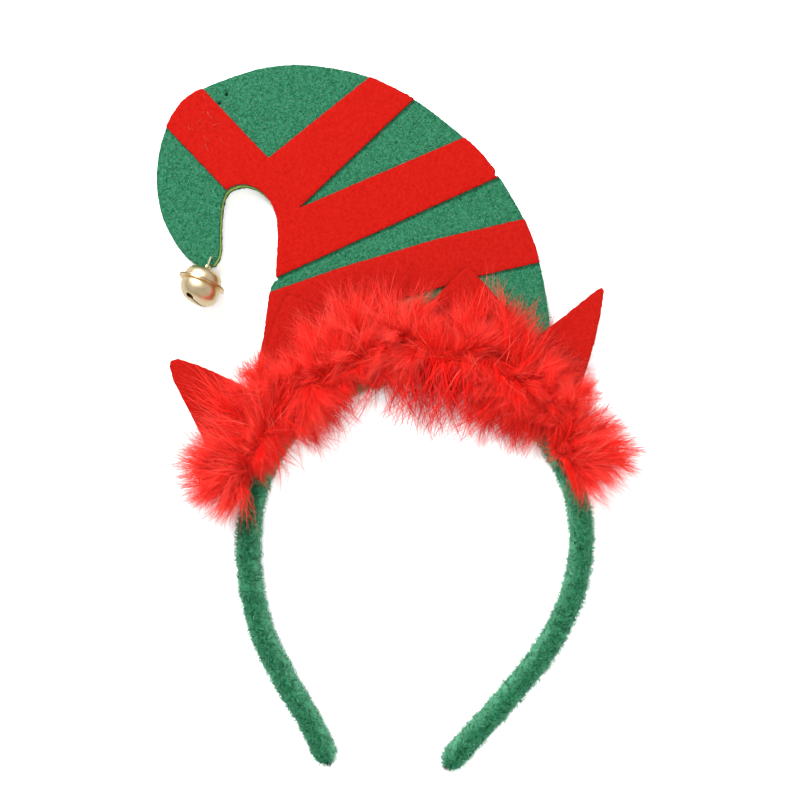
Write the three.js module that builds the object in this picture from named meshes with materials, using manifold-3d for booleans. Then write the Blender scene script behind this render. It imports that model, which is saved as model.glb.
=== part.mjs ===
// Elf hat headband: a flat felt elf hat with red stripes, a pointed collar, a feather trim
// and a jingle bell, on a plush hoop. It lies on its back with the front of the hat up.
// Millimetres, +Z up, +Y towards the top of the hat. Outlines are measured from the centre
// of the head circle.
import * as THREE from "three";
import Module from "manifold-3d";

const wasm = await Module();
wasm.setup();

// Hoop
const HEAD_RADIUS = 62.8; // centreline of the hoop over the head
const HOOP_WIDE = 8.8; // across the plush, in the plane of the hoop
const HOOP_DEEP = 9.0; // front to back
const HOOP_SIDES = 14;
const HOOP_STEPS = 46;
const HOOP_LEFT_ARM = [
  { x: -32.6, y: -85.1 },
  { x: -39.0, y: -71.2 },
  { x: -49.0, y: -54.1 },
  { x: -57.5, y: -37.0 },
  { x: -62.1, y: -17.6 },
];
const HOOP_RIGHT_ARM = [
  { x: 59.7, y: -20.8 },
  { x: 50.7, y: -40.1 },
  { x: 37.8, y: -57.1 },
  { x: 22.7, y: -74.2 },
  { x: 11.7, y: -86.6 },
];

// Hat sandwich, stripes and collar
const FELT_THICK = 1.8;
const FOAM_THICK = 3.0;
const STRIPE_THICK = 1.1;
const COLLAR_THICK = 1.2;
const SEAT_GAP = 0.3;
const LAYER_GAP = 0.2;
const HAT_LIFT = 0.6; // the hat's back over the table
const HAT_BASE_RADIUS = 67.5; // the hat's lower edge butts on the outside of the hoop
const HAT_BASE_LEFT = 151; // degrees about the head centre, from +X
const HAT_BASE_RIGHT = 41.5;
const COLLAR_BASE_RADIUS = 64.5; // the collar laps over the front of the hoop
const COLLAR_BASE_LEFT = 153;
const COLLAR_BASE_RIGHT = 40;
const STITCH_HOLE_RADIUS = 0.65;
const STITCH_SLOT_DEEP = 1.4;

// Hat outline, run by run from the lower left corner clockwise
const HAT_LEFT_EDGE = [
  { x: -58.5, y: 43.8 },
  { x: -59.3, y: 62.3 },
  { x: -56.7, y: 76.2 },
  { x: -54.6, y: 91.9 },
  { x: -53.1, y: 96.0 },
];
const HAT_LEFT_NOTCH = { x: -51.4, y: 97.0 };
const HAT_INNER_HOOK = [
  { x: -52.3, y: 98.0 },
  { x: -51.8, y: 106.2 },
  { x: -51.5, y: 114.8 },
  { x: -52.6, y: 122.3 },
  { x: -56.0, y: 128.3 },
  { x: -61.6, y: 132.0 },
  { x: -66.8, y: 132.2 },
  { x: -71.0, y: 129.8 },
  { x: -72.8, y: 124.2 },
  { x: -73.4, y: 115.6 },
];
const HAT_TIP = [
  { x: -73.6, y: 107.3 },
  { x: -75.3, y: 103.2 },
  { x: -78.1, y: 101.9 },
  { x: -82.2, y: 102.6 },
  { x: -86.7, y: 106.2 },
];
const HAT_OUTER_HOOK = [
  { x: -91.6, y: 113.3 },
  { x: -95.3, y: 121.9 },
  { x: -97.0, y: 132.4 },
  { x: -96.3, y: 143.7 },
  { x: -93.1, y: 154.6 },
  { x: -87.1, y: 163.8 },
];
const HAT_BROW = [
  { x: -78.8, y: 169.0 },
  { x: -68.7, y: 172.9 },
  { x: -57.5, y: 176.3 },
  { x: -43.6, y: 177.6 },
  { x: -28.2, y: 175.8 },
  { x: -15.5, y: 172.2 },
  { x: 0.7, y: 163.9 },
  { x: 12.7, y: 154.9 },
  { x: 23.2, y: 145.9 },
  { x: 30.3, y: 137.4 },
];
const HAT_RIGHT_NOTCH = { x: 29.7, y: 135.7 };
const HAT_RIGHT_EDGE = [
  { x: 31.7, y: 135.4 },
  { x: 36.3, y: 127.9 },
  { x: 41.2, y: 118.9 },
  { x: 44.9, y: 109.9 },
  { x: 47.2, y: 100.9 },
  { x: 49.0, y: 91.9 },
  { x: 50.2, y: 82.9 },
  { x: 50.9, y: 72.4 },
  { x: 50.7, y: 56.8 },
];

// Red stripes as straight strips that run past the hat; the hat outline trims their ends
const COMB_CORNERS = [
  { x: -99.2, y: 160.2 },
  { x: -85.7, y: 174.8 },
  { x: -55.0, y: 142.3 },
  { x: -7.9, y: 180.0 },
  { x: 8.5, y: 172.9 },
  { x: -43.5, y: 123.6 },
  { x: 31.7, y: 155.7 },
  { x: 42.9, y: 140.6 },
  { x: -57.3, y: 95.2 },
  { x: -61.8, y: 117.2 },
  { x: -67.4, y: 126.8 },
];
const LOW_STRIPE_CORNERS = [
  { x: -61.8, y: 89.6 },
  { x: -28.1, y: 101.2 },
  { x: 8.5, y: 112.1 },
  { x: 40.6, y: 119.5 },
  { x: 54.1, y: 122.7 },
  { x: 56.0, y: 105.5 },
  { x: 24.2, y: 98.2 },
  { x: 1.0, y: 91.5 },
  { x: -34.9, y: 81.0 },
  { x: -43.1, y: 44.3 },
  { x: -67.4, y: 44.3 },
];

// Collar outline, point by point from its lower left corner clockwise
const COLLAR_FIRST_POINT = [
  { x: -75.7, y: 30.2 },
  { x: -80.3, y: 39.8 },
  { x: -86.5, y: 51.8 },
  { x: -90.1, y: 58.8 },
  { x: -91.7, y: 64.4 },
  { x: -91.1, y: 66.4 },
  { x: -88.4, y: 67.2 },
  { x: -80.3, y: 64.6 },
  { x: -65.9, y: 58.0 },
  { x: -60.5, y: 55.2 },
];
const COLLAR_SECOND_POINT = [
  { x: -57.9, y: 63.7 },
  { x: -53.8, y: 77.1 },
  { x: -51.1, y: 84.2 },
  { x: -48.2, y: 90.0 },
  { x: -46.8, y: 90.9 },
  { x: -44.9, y: 90.4 },
  { x: -34.9, y: 86.3 },
  { x: -7.9, y: 74.5 },
];
const COLLAR_THIRD_POINT = [
  { x: 3.6, y: 86.1 },
  { x: 17.4, y: 100.1 },
  { x: 19.0, y: 101.2 },
  { x: 20.5, y: 100.8 },
  { x: 36.9, y: 83.0 },
  { x: 44.6, y: 74.5 },
];
const COLLAR_FOURTH_POINT = [
  { x: 49.8, y: 78.7 },
  { x: 55.4, y: 83.1 },
  { x: 67.9, y: 93.0 },
  { x: 69.7, y: 93.7 },
  { x: 70.4, y: 92.2 },
  { x: 69.0, y: 83.0 },
  { x: 66.6, y: 72.5 },
  { x: 62.2, y: 58.3 },
  { x: 58.4, y: 46.2 },
];

// Feather trim: a cord along the base of the hat with rows of feather locks
const TRIM_CORE = 8.0;
const TRIM_RADIUS = 74.5;
const TRIM_END_RADIUS = 69.5;
const TRIM_END_HEIGHT = 13.6;
const TRIM_LEFT_END = 170; // degrees about the head centre, from +X
const TRIM_LEFT_DROP = 159; // the cord comes down to the hoop beyond the collar
const TRIM_RIGHT_DROP = 38;
const TRIM_RIGHT_END = 16;
const TRIM_END_SHARE = 0.66; // lock length at the ends against the middle
const LOCK_SIDES = 5;
const LOCK_SEED = 41;
// lean is the lock's direction about the cord: 0 out over the hat, 90 up, 180 in over the head
const LOCK_ROWS = [
  { lean: 8, reach: 24, arch: 4.0, droop: 0.5, wide: 13.0, thick: 5.0, count: 15 },
  { lean: 58, reach: 17, arch: 3.0, droop: 2.0, wide: 12.0, thick: 5.5, count: 14 },
  { lean: 112, reach: 17, arch: 3.0, droop: 2.0, wide: 12.0, thick: 5.5, count: 14 },
  { lean: 170, reach: 21, arch: 5.0, droop: 5.0, wide: 13.0, thick: 5.0, count: 15 },
];
const TASSEL_LOCKS = [
  { turn: -75, rise: 2.0, reach: 13 },
  { turn: -38, rise: 5.0, reach: 14 },
  { turn: -5, rise: 1.0, reach: 13 },
  { turn: 28, rise: 5.0, reach: 14 },
  { turn: 65, rise: 2.0, reach: 12 },
];
const TASSEL_WIDE = 11.0;
const TASSEL_THICK = 5.5;

// Bell
const BELL_CENTRE = { x: -79.8, y: 95.6, z: 9.1 };
const BELL_TURN = -20; // the bell's lower end swings to the left
const BELL_TIP = -9; // and lifts a little off the table
const BELL_FLANGE_RADIUS = 8.8;
const BELL_FLANGE_HALF = 0.55;
const BELL_UPPER_RADIUS = 7.1;
const BELL_UPPER_HIGH = 5.4;
const BELL_LOWER_RADIUS = 7.6;
const BELL_LOWER_LOW = 8.7;
const BELL_WALL = 0.6;
const BELL_SEAM_GAP = 0.15;
const BELL_SEGMENTS = 24;
const BELL_SLOT_WIDE = 0.7;
const BELL_HOLE_RADIUS = 1.0;
const BELL_HOLE_OUT = 5.0; // from the axis to the middle of each slot hole
const BELL_SLOT_TURN = 19;
const LOOP_WIRE = 0.35;
const LOOP_LIFT = 14; // degrees, so that the loop lies level on the felt
const LOOP_HALF = 1.35;
const LOOP_TOP = 7.4;
const LOOP_STEPS = 10;

// Thread that ties the bell to the tip of the hat
const THREAD_RADIUS = 0.35;
const THREAD_NEAR = 7.2; // along the bell's axis from the flange to the first stitch hole
const THREAD_STITCH = 3.0;

const ARC_STEP = 5; // degrees
const HALF_TURN = Math.PI;
const rad = THREE.MathUtils.degToRad;

const zBackFelt = HAT_LIFT;
const zFoam = zBackFelt + FELT_THICK + LAYER_GAP;
const zFrontFelt = zFoam + FOAM_THICK + LAYER_GAP;
const zStripe = zFrontFelt + FELT_THICK + LAYER_GAP;
const zCollar = Math.max(zStripe + STRIPE_THICK + LAYER_GAP, HOOP_DEEP + SEAT_GAP);
const zTrim = zCollar + COLLAR_THICK + SEAT_GAP + TRIM_CORE / 2;
const zThreadTop = zFrontFelt + FELT_THICK + 2 * SEAT_GAP + 2 * LOOP_WIRE + THREAD_RADIUS;
const zThreadLow = zFoam + SEAT_GAP + THREAD_RADIUS;

// Materials
const MATERIALS = {
  plush: new THREE.MeshStandardMaterial({ color: 0x2f8a5f, roughness: 0.95 }),
  greenFelt: new THREE.MeshStandardMaterial({ color: 0x348a64, roughness: 0.95 }),
  darkFelt: new THREE.MeshStandardMaterial({ color: 0x2a6f4f, roughness: 0.95 }),
  foam: new THREE.MeshStandardMaterial({ color: 0x9cc04e, roughness: 0.9 }),
  redFelt: new THREE.MeshStandardMaterial({ color: 0xd91f18, roughness: 0.95 }),
  feather: new THREE.MeshStandardMaterial({ color: 0xe02a22, roughness: 0.9 }),
  gold: new THREE.MeshStandardMaterial({ color: 0xd9bd86, roughness: 0.25, metalness: 1.0 }),
  thread: new THREE.MeshStandardMaterial({ color: 0xe9dcb0, roughness: 0.8 }),
};

// Solids from rings of points. Every ring has the same number of points in the same order.
function signedVolume(points, faces) {
  let total = 0;
  for (const [a, b, c] of faces) {
    const normal = new THREE.Vector3().crossVectors(points[b], points[c]);
    total += points[a].dot(normal) / 6;
  }
  return total;
}

function solidFrom(points, faces) {
  const flip = signedVolume(points, faces) < 0;
  const index = faces.flatMap(([a, b, c]) => (flip ? [a, c, b] : [a, b, c]));
  const geometry = new THREE.BufferGeometry();
  const position = new Float32Array(points.flatMap((p) => [p.x, p.y, p.z]));
  geometry.setAttribute("position", new THREE.BufferAttribute(position, 3));
  geometry.setIndex(index);
  return geometry;
}

function skin(rings, closed = false) {
  const sides = rings[0].length;
  const points = rings.flat();
  const faces = [];
  const last = closed ? rings.length : rings.length - 1;
  for (let r = 0; r < last; r += 1) {
    const here = r * sides;
    const next = ((r + 1) % rings.length) * sides;
    for (let k = 0; k < sides; k += 1) {
      const j = (k + 1) % sides;
      faces.push([here + k, here + j, next + j], [here + k, next + j, next + k]);
    }
  }
  if (!closed) {
    const end = (rings.length - 1) * sides;
    for (let k = 1; k < sides - 1; k += 1) {
      faces.push([0, k + 1, k], [end, end + k, end + k + 1]);
    }
  }
  return solidFrom(points, faces);
}

// An oval ring of points about a centre, across and along two unit vectors
function ovalRing(centre, across, along, halfAcross, halfAlong, sides, start = 0) {
  const ring = [];
  for (let k = 0; k < sides; k += 1) {
    const turn = start + (2 * HALF_TURN * k) / sides;
    const point = centre.clone();
    point.addScaledVector(across, halfAcross * Math.cos(turn));
    point.addScaledVector(along, halfAlong * Math.sin(turn));
    ring.push(point);
  }
  return ring;
}

// Joining and cutting
function toManifold(geometry) {
  const position = geometry.getAttribute("position");
  const keyed = new Map();
  const vertices = [];
  const remap = [];
  for (let i = 0; i < position.count; i += 1) {
    const p = [position.getX(i), position.getY(i), position.getZ(i)];
    const key = p.map((value) => Math.round(value * 1e4)).join(",");
    if (!keyed.has(key)) {
      keyed.set(key, vertices.length / 3);
      vertices.push(...p);
    }
    remap.push(keyed.get(key));
  }
  const source = geometry.index ? Array.from(geometry.index.array) : remap.map((_, i) => i);
  const triangles = [];
  for (let i = 0; i < source.length; i += 3) {
    const [a, b, c] = [remap[source[i]], remap[source[i + 1]], remap[source[i + 2]]];
    if (a !== b && b !== c && c !== a) {
      triangles.push(a, b, c);
    }
  }
  const mesh = new wasm.Mesh({
    numProp: 3,
    vertProperties: new Float32Array(vertices),
    triVerts: new Uint32Array(triangles),
  });
  return new wasm.Manifold(mesh);
}

function fromManifold(solid) {
  const mesh = solid.getMesh();
  const geometry = new THREE.BufferGeometry();
  const position = new Float32Array(mesh.numVert * 3);
  for (let i = 0; i < mesh.numVert; i += 1) {
    for (let axis = 0; axis < 3; axis += 1) {
      position[i * 3 + axis] = mesh.vertProperties[i * mesh.numProp + axis];
    }
  }
  geometry.setAttribute("position", new THREE.BufferAttribute(position, 3));
  geometry.setIndex(Array.from(mesh.triVerts));
  return geometry;
}

function cut(geometry, cutters) {
  let solid = toManifold(geometry);
  for (const cutter of cutters) {
    solid = solid.subtract(toManifold(cutter));
  }
  return fromManifold(solid);
}

function join(geometries) {
  return fromManifold(wasm.Manifold.union(geometries.map(toManifold)));
}

function overlap(first, second) {
  return fromManifold(toManifold(first).intersect(toManifold(second)));
}

// Flat pieces
function vectors(table) {
  return table.map((row) => new THREE.Vector2(row.x, row.y));
}

function slab(shape, bottom, thick, curveSegments) {
  const geometry = new THREE.ExtrudeGeometry(shape, {
    depth: thick,
    bevelEnabled: false,
    curveSegments,
  });
  geometry.translate(0, 0, bottom);
  return geometry;
}

function onCircle(radius, degrees) {
  return new THREE.Vector2(radius * Math.cos(rad(degrees)), radius * Math.sin(rad(degrees)));
}

// The lower edge of a flat piece, along a circle about the head centre
function baseArc(shape, radius, from, to) {
  const steps = Math.ceil(Math.abs(to - from) / ARC_STEP);
  for (let i = 0; i < steps; i += 1) {
    const point = onCircle(radius, from + ((to - from) * i) / steps);
    shape.lineTo(point.x, point.y);
  }
}

function hatShape() {
  const leftCorner = onCircle(HAT_BASE_RADIUS, HAT_BASE_LEFT);
  const shape = new THREE.Shape();
  shape.moveTo(leftCorner.x, leftCorner.y);
  shape.splineThru(vectors(HAT_LEFT_EDGE));
  shape.lineTo(HAT_LEFT_NOTCH.x, HAT_LEFT_NOTCH.y);
  shape.lineTo(HAT_INNER_HOOK[0].x, HAT_INNER_HOOK[0].y);
  shape.splineThru(vectors([...HAT_INNER_HOOK.slice(1), ...HAT_TIP, ...HAT_OUTER_HOOK, ...HAT_BROW]));
  shape.lineTo(HAT_RIGHT_NOTCH.x, HAT_RIGHT_NOTCH.y);
  shape.lineTo(HAT_RIGHT_EDGE[0].x, HAT_RIGHT_EDGE[0].y);
  shape.splineThru(vectors(HAT_RIGHT_EDGE.slice(1)));
  baseArc(shape, HAT_BASE_RADIUS, HAT_BASE_RIGHT, HAT_BASE_LEFT);
  return shape;
}

function collarShape() {
  const runs = [COLLAR_FIRST_POINT, COLLAR_SECOND_POINT, COLLAR_THIRD_POINT, COLLAR_FOURTH_POINT];
  const shape = new THREE.Shape();
  const start = onCircle(COLLAR_BASE_RADIUS, COLLAR_BASE_LEFT);
  shape.moveTo(start.x, start.y);
  for (const run of runs) {
    for (const point of run) {
      shape.lineTo(point.x, point.y);
    }
  }
  baseArc(shape, COLLAR_BASE_RADIUS, COLLAR_BASE_RIGHT, COLLAR_BASE_LEFT);
  return shape;
}

// Hoop: one plush tube with flats at the front and the back, its free ends gathered in
function hoopGeometry() {
  const route = [...HOOP_LEFT_ARM.map((p) => new THREE.Vector3(p.x, p.y, 0))];
  for (let degrees = 180; degrees >= 0; degrees -= 20) {
    const p = onCircle(HEAD_RADIUS, degrees);
    route.push(new THREE.Vector3(p.x, p.y, 0));
  }
  route.push(...HOOP_RIGHT_ARM.map((p) => new THREE.Vector3(p.x, p.y, 0)));
  const path = new THREE.CatmullRomCurve3(route, false, "centripetal");
  const length = path.getLength();
  const up = new THREE.Vector3(0, 0, 1);
  const flat = Math.sin(HALF_TURN / 2 - HALF_TURN / HOOP_SIDES);
  const rings = [];
  const stations = [0, 1.0, 2.6];
  for (let i = 0; i <= HOOP_STEPS; i += 1) {
    stations.push(5 + ((length - 10) * i) / HOOP_STEPS);
  }
  stations.push(length - 2.6, length - 1.0, length);
  for (const station of stations) {
    const inset = Math.min(station, length - station);
    const gather = inset >= 5 ? 1 : Math.sqrt(1 - ((5 - inset) / 5) ** 2 * 0.86);
    const centre = path.getPointAt(station / length);
    centre.z = HOOP_DEEP / 2;
    const across = new THREE.Vector3().crossVectors(path.getTangentAt(station / length), up);
    const halfDeep = (HOOP_DEEP / 2 / flat) * gather;
    const start = HALF_TURN / 2 - HALF_TURN / HOOP_SIDES;
    rings.push(ovalRing(centre, across, up, (HOOP_WIDE / 2) * gather, halfDeep, HOOP_SIDES, start));
  }
  return skin(rings);
}

// Feather trim
function trimPoint(degrees) {
  const left = (degrees - TRIM_LEFT_DROP) / (TRIM_LEFT_END - TRIM_LEFT_DROP);
  const right = (TRIM_RIGHT_DROP - degrees) / (TRIM_RIGHT_DROP - TRIM_RIGHT_END);
  const drop = THREE.MathUtils.smoothstep(Math.max(left, right), 0, 1);
  const flat = onCircle(THREE.MathUtils.lerp(TRIM_RADIUS, TRIM_END_RADIUS, drop), degrees);
  return new THREE.Vector3(flat.x, flat.y, THREE.MathUtils.lerp(zTrim, TRIM_END_HEIGHT, drop));
}

function lockGeometry(root, elbow, tip, wide, thick) {
  const curve = new THREE.QuadraticBezierCurve3(root, elbow, tip);
  const up = new THREE.Vector3(0, 0, 1);
  const profile = [
    { t: 0.0, size: 0.6 },
    { t: 0.4, size: 1.0 },
    { t: 0.75, size: 0.7 },
    { t: 1.0, size: 0.12 },
  ];
  const rings = profile.map(({ t, size }) => {
    const along = curve.getTangent(t);
    const across = new THREE.Vector3().crossVectors(along, up);
    if (across.length() < 0.2) {
      across.set(-root.y, root.x, 0);
    }
    across.normalize();
    const normal = new THREE.Vector3().crossVectors(across, along);
    return ovalRing(curve.getPoint(t), across, normal, (wide / 2) * size, (thick / 2) * size, LOCK_SIDES);
  });
  return skin(rings);
}

function trimGeometry() {
  let state = LOCK_SEED;
  const jitter = () => {
    state = (state * 16807) % 2147483647;
    return (state / 2147483647) * 2 - 1;
  };
  const up = new THREE.Vector3(0, 0, 1);
  const solids = [];
  const coreRings = [];
  const coreSteps = 24;
  for (let i = 0; i <= coreSteps; i += 1) {
    const degrees = THREE.MathUtils.lerp(TRIM_LEFT_END, TRIM_RIGHT_END, i / coreSteps);
    const centre = trimPoint(degrees);
    const along = trimPoint(degrees - 0.5).sub(trimPoint(degrees + 0.5)).normalize();
    const across = new THREE.Vector3().crossVectors(along, up).normalize();
    const normal = new THREE.Vector3().crossVectors(across, along);
    coreRings.push(ovalRing(centre, across, normal, TRIM_CORE / 2, TRIM_CORE / 2, 8));
  }
  solids.push(skin(coreRings));
  for (const row of LOCK_ROWS) {
    for (let i = 0; i < row.count; i += 1) {
      const share = (i + 0.5 + 0.3 * jitter()) / row.count;
      const degrees = THREE.MathUtils.lerp(TRIM_LEFT_END - 5, TRIM_RIGHT_END + 5, share);
      const root = trimPoint(degrees);
      const middle = Math.sin(HALF_TURN * share);
      const reach = row.reach * (TRIM_END_SHARE + (1 - TRIM_END_SHARE) * middle) * (1 + 0.12 * jitter());
      const lean = rad(row.lean + 8 * jitter() * Math.sin(rad(row.lean)));
      const outward = new THREE.Vector3(root.x, root.y, 0).normalize();
      const sideways = new THREE.Vector3(-outward.y, outward.x, 0);
      const heading = outward.clone().multiplyScalar(Math.cos(lean)).addScaledVector(up, Math.sin(lean));
      const elbow = root.clone().addScaledVector(heading, reach * 0.5);
      elbow.addScaledVector(up, row.arch);
      elbow.addScaledVector(sideways, 1.5 * jitter());
      const tip = root.clone().addScaledVector(heading, reach);
      tip.addScaledVector(up, -row.droop);
      tip.addScaledVector(sideways, 4 * jitter());
      solids.push(lockGeometry(root, elbow, tip, row.wide, row.thick));
    }
  }
  const ends = [
    { degrees: TRIM_LEFT_END - 2, way: 1 },
    { degrees: TRIM_RIGHT_END + 2, way: -1 },
  ];
  for (const end of ends) {
    const root = trimPoint(end.degrees);
    for (const lock of TASSEL_LOCKS) {
      const outward = new THREE.Vector3(root.x, root.y, 0).normalize();
      const heading = new THREE.Vector3(-outward.y, outward.x, 0).multiplyScalar(end.way);
      heading.applyAxisAngle(up, rad(lock.turn));
      const elbow = root.clone().addScaledVector(heading, lock.reach * 0.5);
      elbow.z += lock.rise;
      const tip = root.clone().addScaledVector(heading, lock.reach);
      solids.push(lockGeometry(root, elbow, tip, TASSEL_WIDE, TASSEL_THICK));
    }
  }
  return join(solids);
}

// Bell: two pressed cups, flange to flange
function ellipseRun(radius, height, from, to, steps, power) {
  const points = [];
  for (let i = 0; i <= steps; i += 1) {
    const turn = rad(from + ((to - from) * i) / steps);
    const r = radius * Math.max(Math.cos(turn), 0) ** (2 / power);
    points.push(new THREE.Vector2(r, height * Math.sin(turn) ** (2 / power)));
  }
  return points;
}

function bellUpper() {
  const outer = ellipseRun(BELL_UPPER_RADIUS, BELL_UPPER_HIGH, 90, 12, 6, 2.0);
  const inner = ellipseRun(BELL_UPPER_RADIUS - BELL_WALL, BELL_UPPER_HIGH - BELL_WALL, 8, 90, 5, 2.0);
  outer[0].x = 0;
  inner[inner.length - 1].x = 0;
  const profile = [
    ...outer,
    new THREE.Vector2(BELL_FLANGE_RADIUS, BELL_FLANGE_HALF),
    new THREE.Vector2(BELL_FLANGE_RADIUS, BELL_SEAM_GAP),
    new THREE.Vector2(BELL_UPPER_RADIUS - BELL_WALL, BELL_SEAM_GAP),
    ...inner,
  ];
  const cup = new THREE.LatheGeometry(profile.reverse(), BELL_SEGMENTS);
  const route = [
    new THREE.Vector3(-LOOP_HALF, BELL_UPPER_HIGH - BELL_WALL * 0.8, 0),
    new THREE.Vector3(-LOOP_HALF, LOOP_TOP - 0.4, 0),
  ];
  for (let degrees = 150; degrees >= 30; degrees -= 30) {
    const p = onCircle(LOOP_HALF, degrees);
    route.push(new THREE.Vector3(p.x, LOOP_TOP + p.y, 0));
  }
  route.push(
    new THREE.Vector3(LOOP_HALF, LOOP_TOP - 0.4, 0),
    new THREE.Vector3(LOOP_HALF, BELL_UPPER_HIGH - BELL_WALL * 0.8, 0),
  );
  const path = new THREE.CatmullRomCurve3(route, false, "centripetal");
  const up = new THREE.Vector3(0, 0, 1);
  const rings = [];
  for (let i = 0; i <= LOOP_STEPS; i += 1) {
    const across = new THREE.Vector3().crossVectors(path.getTangentAt(i / LOOP_STEPS), up).normalize();
    rings.push(ovalRing(path.getPointAt(i / LOOP_STEPS), across, up, LOOP_WIRE, LOOP_WIRE, 6));
  }
  const loop = skin(rings);
  loop.translate(0, -BELL_UPPER_HIGH, 0);
  loop.rotateX(rad(LOOP_LIFT));
  loop.translate(0, BELL_UPPER_HIGH, 0);
  return join([cup, loop]);
}

function bellLower() {
  const outer = ellipseRun(BELL_LOWER_RADIUS, BELL_LOWER_LOW, 10, 90, 9, 2.9);
  const inner = ellipseRun(BELL_LOWER_RADIUS - BELL_WALL, BELL_LOWER_LOW - BELL_WALL, 90, 8, 7, 2.9);
  outer[outer.length - 1].x = 0;
  inner[0].x = 0;
  const profile = [
    new THREE.Vector2(BELL_LOWER_RADIUS - BELL_WALL, BELL_SEAM_GAP),
    new THREE.Vector2(BELL_FLANGE_RADIUS, BELL_SEAM_GAP),
    new THREE.Vector2(BELL_FLANGE_RADIUS, BELL_FLANGE_HALF),
    ...outer,
  ];
  const closedProfile = [...inner, ...profile].map((p) => new THREE.Vector2(p.x, -p.y));
  const cup = new THREE.LatheGeometry(closedProfile.reverse(), BELL_SEGMENTS);
  const slot = new THREE.BoxGeometry(BELL_SLOT_WIDE, 6, BELL_HOLE_OUT * 2);
  slot.translate(0, -BELL_LOWER_LOW, 0);
  const cutters = [slot];
  for (const side of [1, -1]) {
    const hole = new THREE.CylinderGeometry(BELL_HOLE_RADIUS, BELL_HOLE_RADIUS, 6, 12);
    hole.rotateX(rad(38 * side));
    hole.translate(0, -BELL_LOWER_LOW + 1.2, BELL_HOLE_OUT * side);
    cutters.push(hole);
  }
  const geometry = cut(cup, cutters);
  geometry.rotateY(rad(-BELL_SLOT_TURN));
  return geometry;
}

// Thread: one ring that passes through the bell's loop and two stitch holes in the hat
function stitchPoint(along) {
  const turn = rad(BELL_TURN);
  const run = along * Math.cos(rad(BELL_TIP));
  return new THREE.Vector3(BELL_CENTRE.x - run * Math.sin(turn), BELL_CENTRE.y + run * Math.cos(turn), 0);
}

function threadGeometry() {
  const near = stitchPoint(THREAD_NEAR);
  const far = stitchPoint(THREAD_NEAR + THREAD_STITCH);
  const along = far.clone().sub(near).normalize();
  const across = new THREE.Vector3(-along.y, along.x, 0);
  const up = new THREE.Vector3(0, 0, 1);
  const round = 0.9;
  const corners = [
    { s: THREAD_STITCH - round, z: zThreadLow + round, from: -90 },
    { s: THREAD_STITCH - round, z: zThreadTop - round, from: 0 },
    { s: round, z: zThreadTop - round, from: 90 },
    { s: round, z: zThreadLow + round, from: 180 },
  ];
  const rings = [];
  for (const corner of corners) {
    for (let i = 0; i <= 4; i += 1) {
      const turn = rad(corner.from + i * 22.5);
      const out = along.clone().multiplyScalar(Math.cos(turn)).addScaledVector(up, Math.sin(turn));
      const centre = near.clone().addScaledVector(along, corner.s).addScaledVector(out, round);
      centre.z += corner.z;
      rings.push(ovalRing(centre, across, out, THREAD_RADIUS, THREAD_RADIUS, 6));
    }
  }
  return skin(rings, true);
}

// The stitch goes through the front felt into a short slot in the foam
function stitchSlot() {
  const length = THREAD_STITCH + 2 * STITCH_HOLE_RADIUS;
  const slot = new THREE.BoxGeometry(2 * STITCH_HOLE_RADIUS, length, 2 * STITCH_SLOT_DEEP);
  slot.rotateZ(rad(BELL_TURN));
  const middle = stitchPoint(THREAD_NEAR + THREAD_STITCH / 2);
  slot.translate(middle.x, middle.y, zFoam);
  return slot;
}

function stitchHoles() {
  return [THREAD_NEAR, THREAD_NEAR + THREAD_STITCH].map((along) => {
    const hole = new THREE.CylinderGeometry(STITCH_HOLE_RADIUS, STITCH_HOLE_RADIUS, 40, 10);
    hole.rotateX(HALF_TURN / 2);
    const place = stitchPoint(along);
    hole.translate(place.x, place.y, 0);
    return hole;
  });
}

// Assembly
const root = new THREE.Group();
root.name = "christmas_headband";
const laid = new THREE.Group();
laid.name = "laid";
root.add(laid);

function add(name, geometry, material) {
  const mesh = new THREE.Mesh(geometry, material);
  mesh.name = name;
  laid.add(mesh);
  return mesh;
}

const hat = hatShape();
const stripeTrim = slab(hat, zStripe - 1, STRIPE_THICK + 2, 3);
const combStrip = slab(new THREE.Shape(vectors(COMB_CORNERS)), zStripe, STRIPE_THICK, 1);
const lowStrip = slab(new THREE.Shape(vectors(LOW_STRIPE_CORNERS)), zStripe, STRIPE_THICK, 1);

add("hoop", hoopGeometry(), MATERIALS.plush);
add("hat_back_felt", slab(hat, zBackFelt, FELT_THICK, 3), MATERIALS.darkFelt);
add("hat_foam_core", cut(slab(hat, zFoam, FOAM_THICK, 3), [...stitchHoles(), stitchSlot()]), MATERIALS.foam);
add("hat_front_felt", cut(slab(hat, zFrontFelt, FELT_THICK, 3), stitchHoles()), MATERIALS.greenFelt);
add("stripe_comb", overlap(combStrip, stripeTrim), MATERIALS.redFelt);
add("stripe_low", overlap(lowStrip, stripeTrim), MATERIALS.redFelt);
add("collar", slab(collarShape(), zCollar, COLLAR_THICK, 14), MATERIALS.redFelt);
add("feather_trim", trimGeometry(), MATERIALS.feather);
for (const cup of [add("bell_upper", bellUpper(), MATERIALS.gold), add("bell_lower", bellLower(), MATERIALS.gold)]) {
  cup.rotation.set(rad(BELL_TIP), 0, rad(BELL_TURN), "ZYX");
  cup.position.set(BELL_CENTRE.x, BELL_CENTRE.y, BELL_CENTRE.z);
}
add("bell_thread", threadGeometry(), MATERIALS.thread);

// The middle of the bounding box goes over the origin, the lowest point on the table
root.updateMatrixWorld(true);
const box = new THREE.Box3().setFromObject(root, true);
laid.position.set(-(box.min.x + box.max.x) / 2, -(box.min.y + box.max.y) / 2, -box.min.z);

export default root;
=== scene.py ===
import math

import bmesh
import bpy
import numpy as np
from mathutils import Matrix, Vector, noise
from mathutils.bvhtree import BVHTree
from mathutils.geometry import delaunay_2d_cdt


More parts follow.
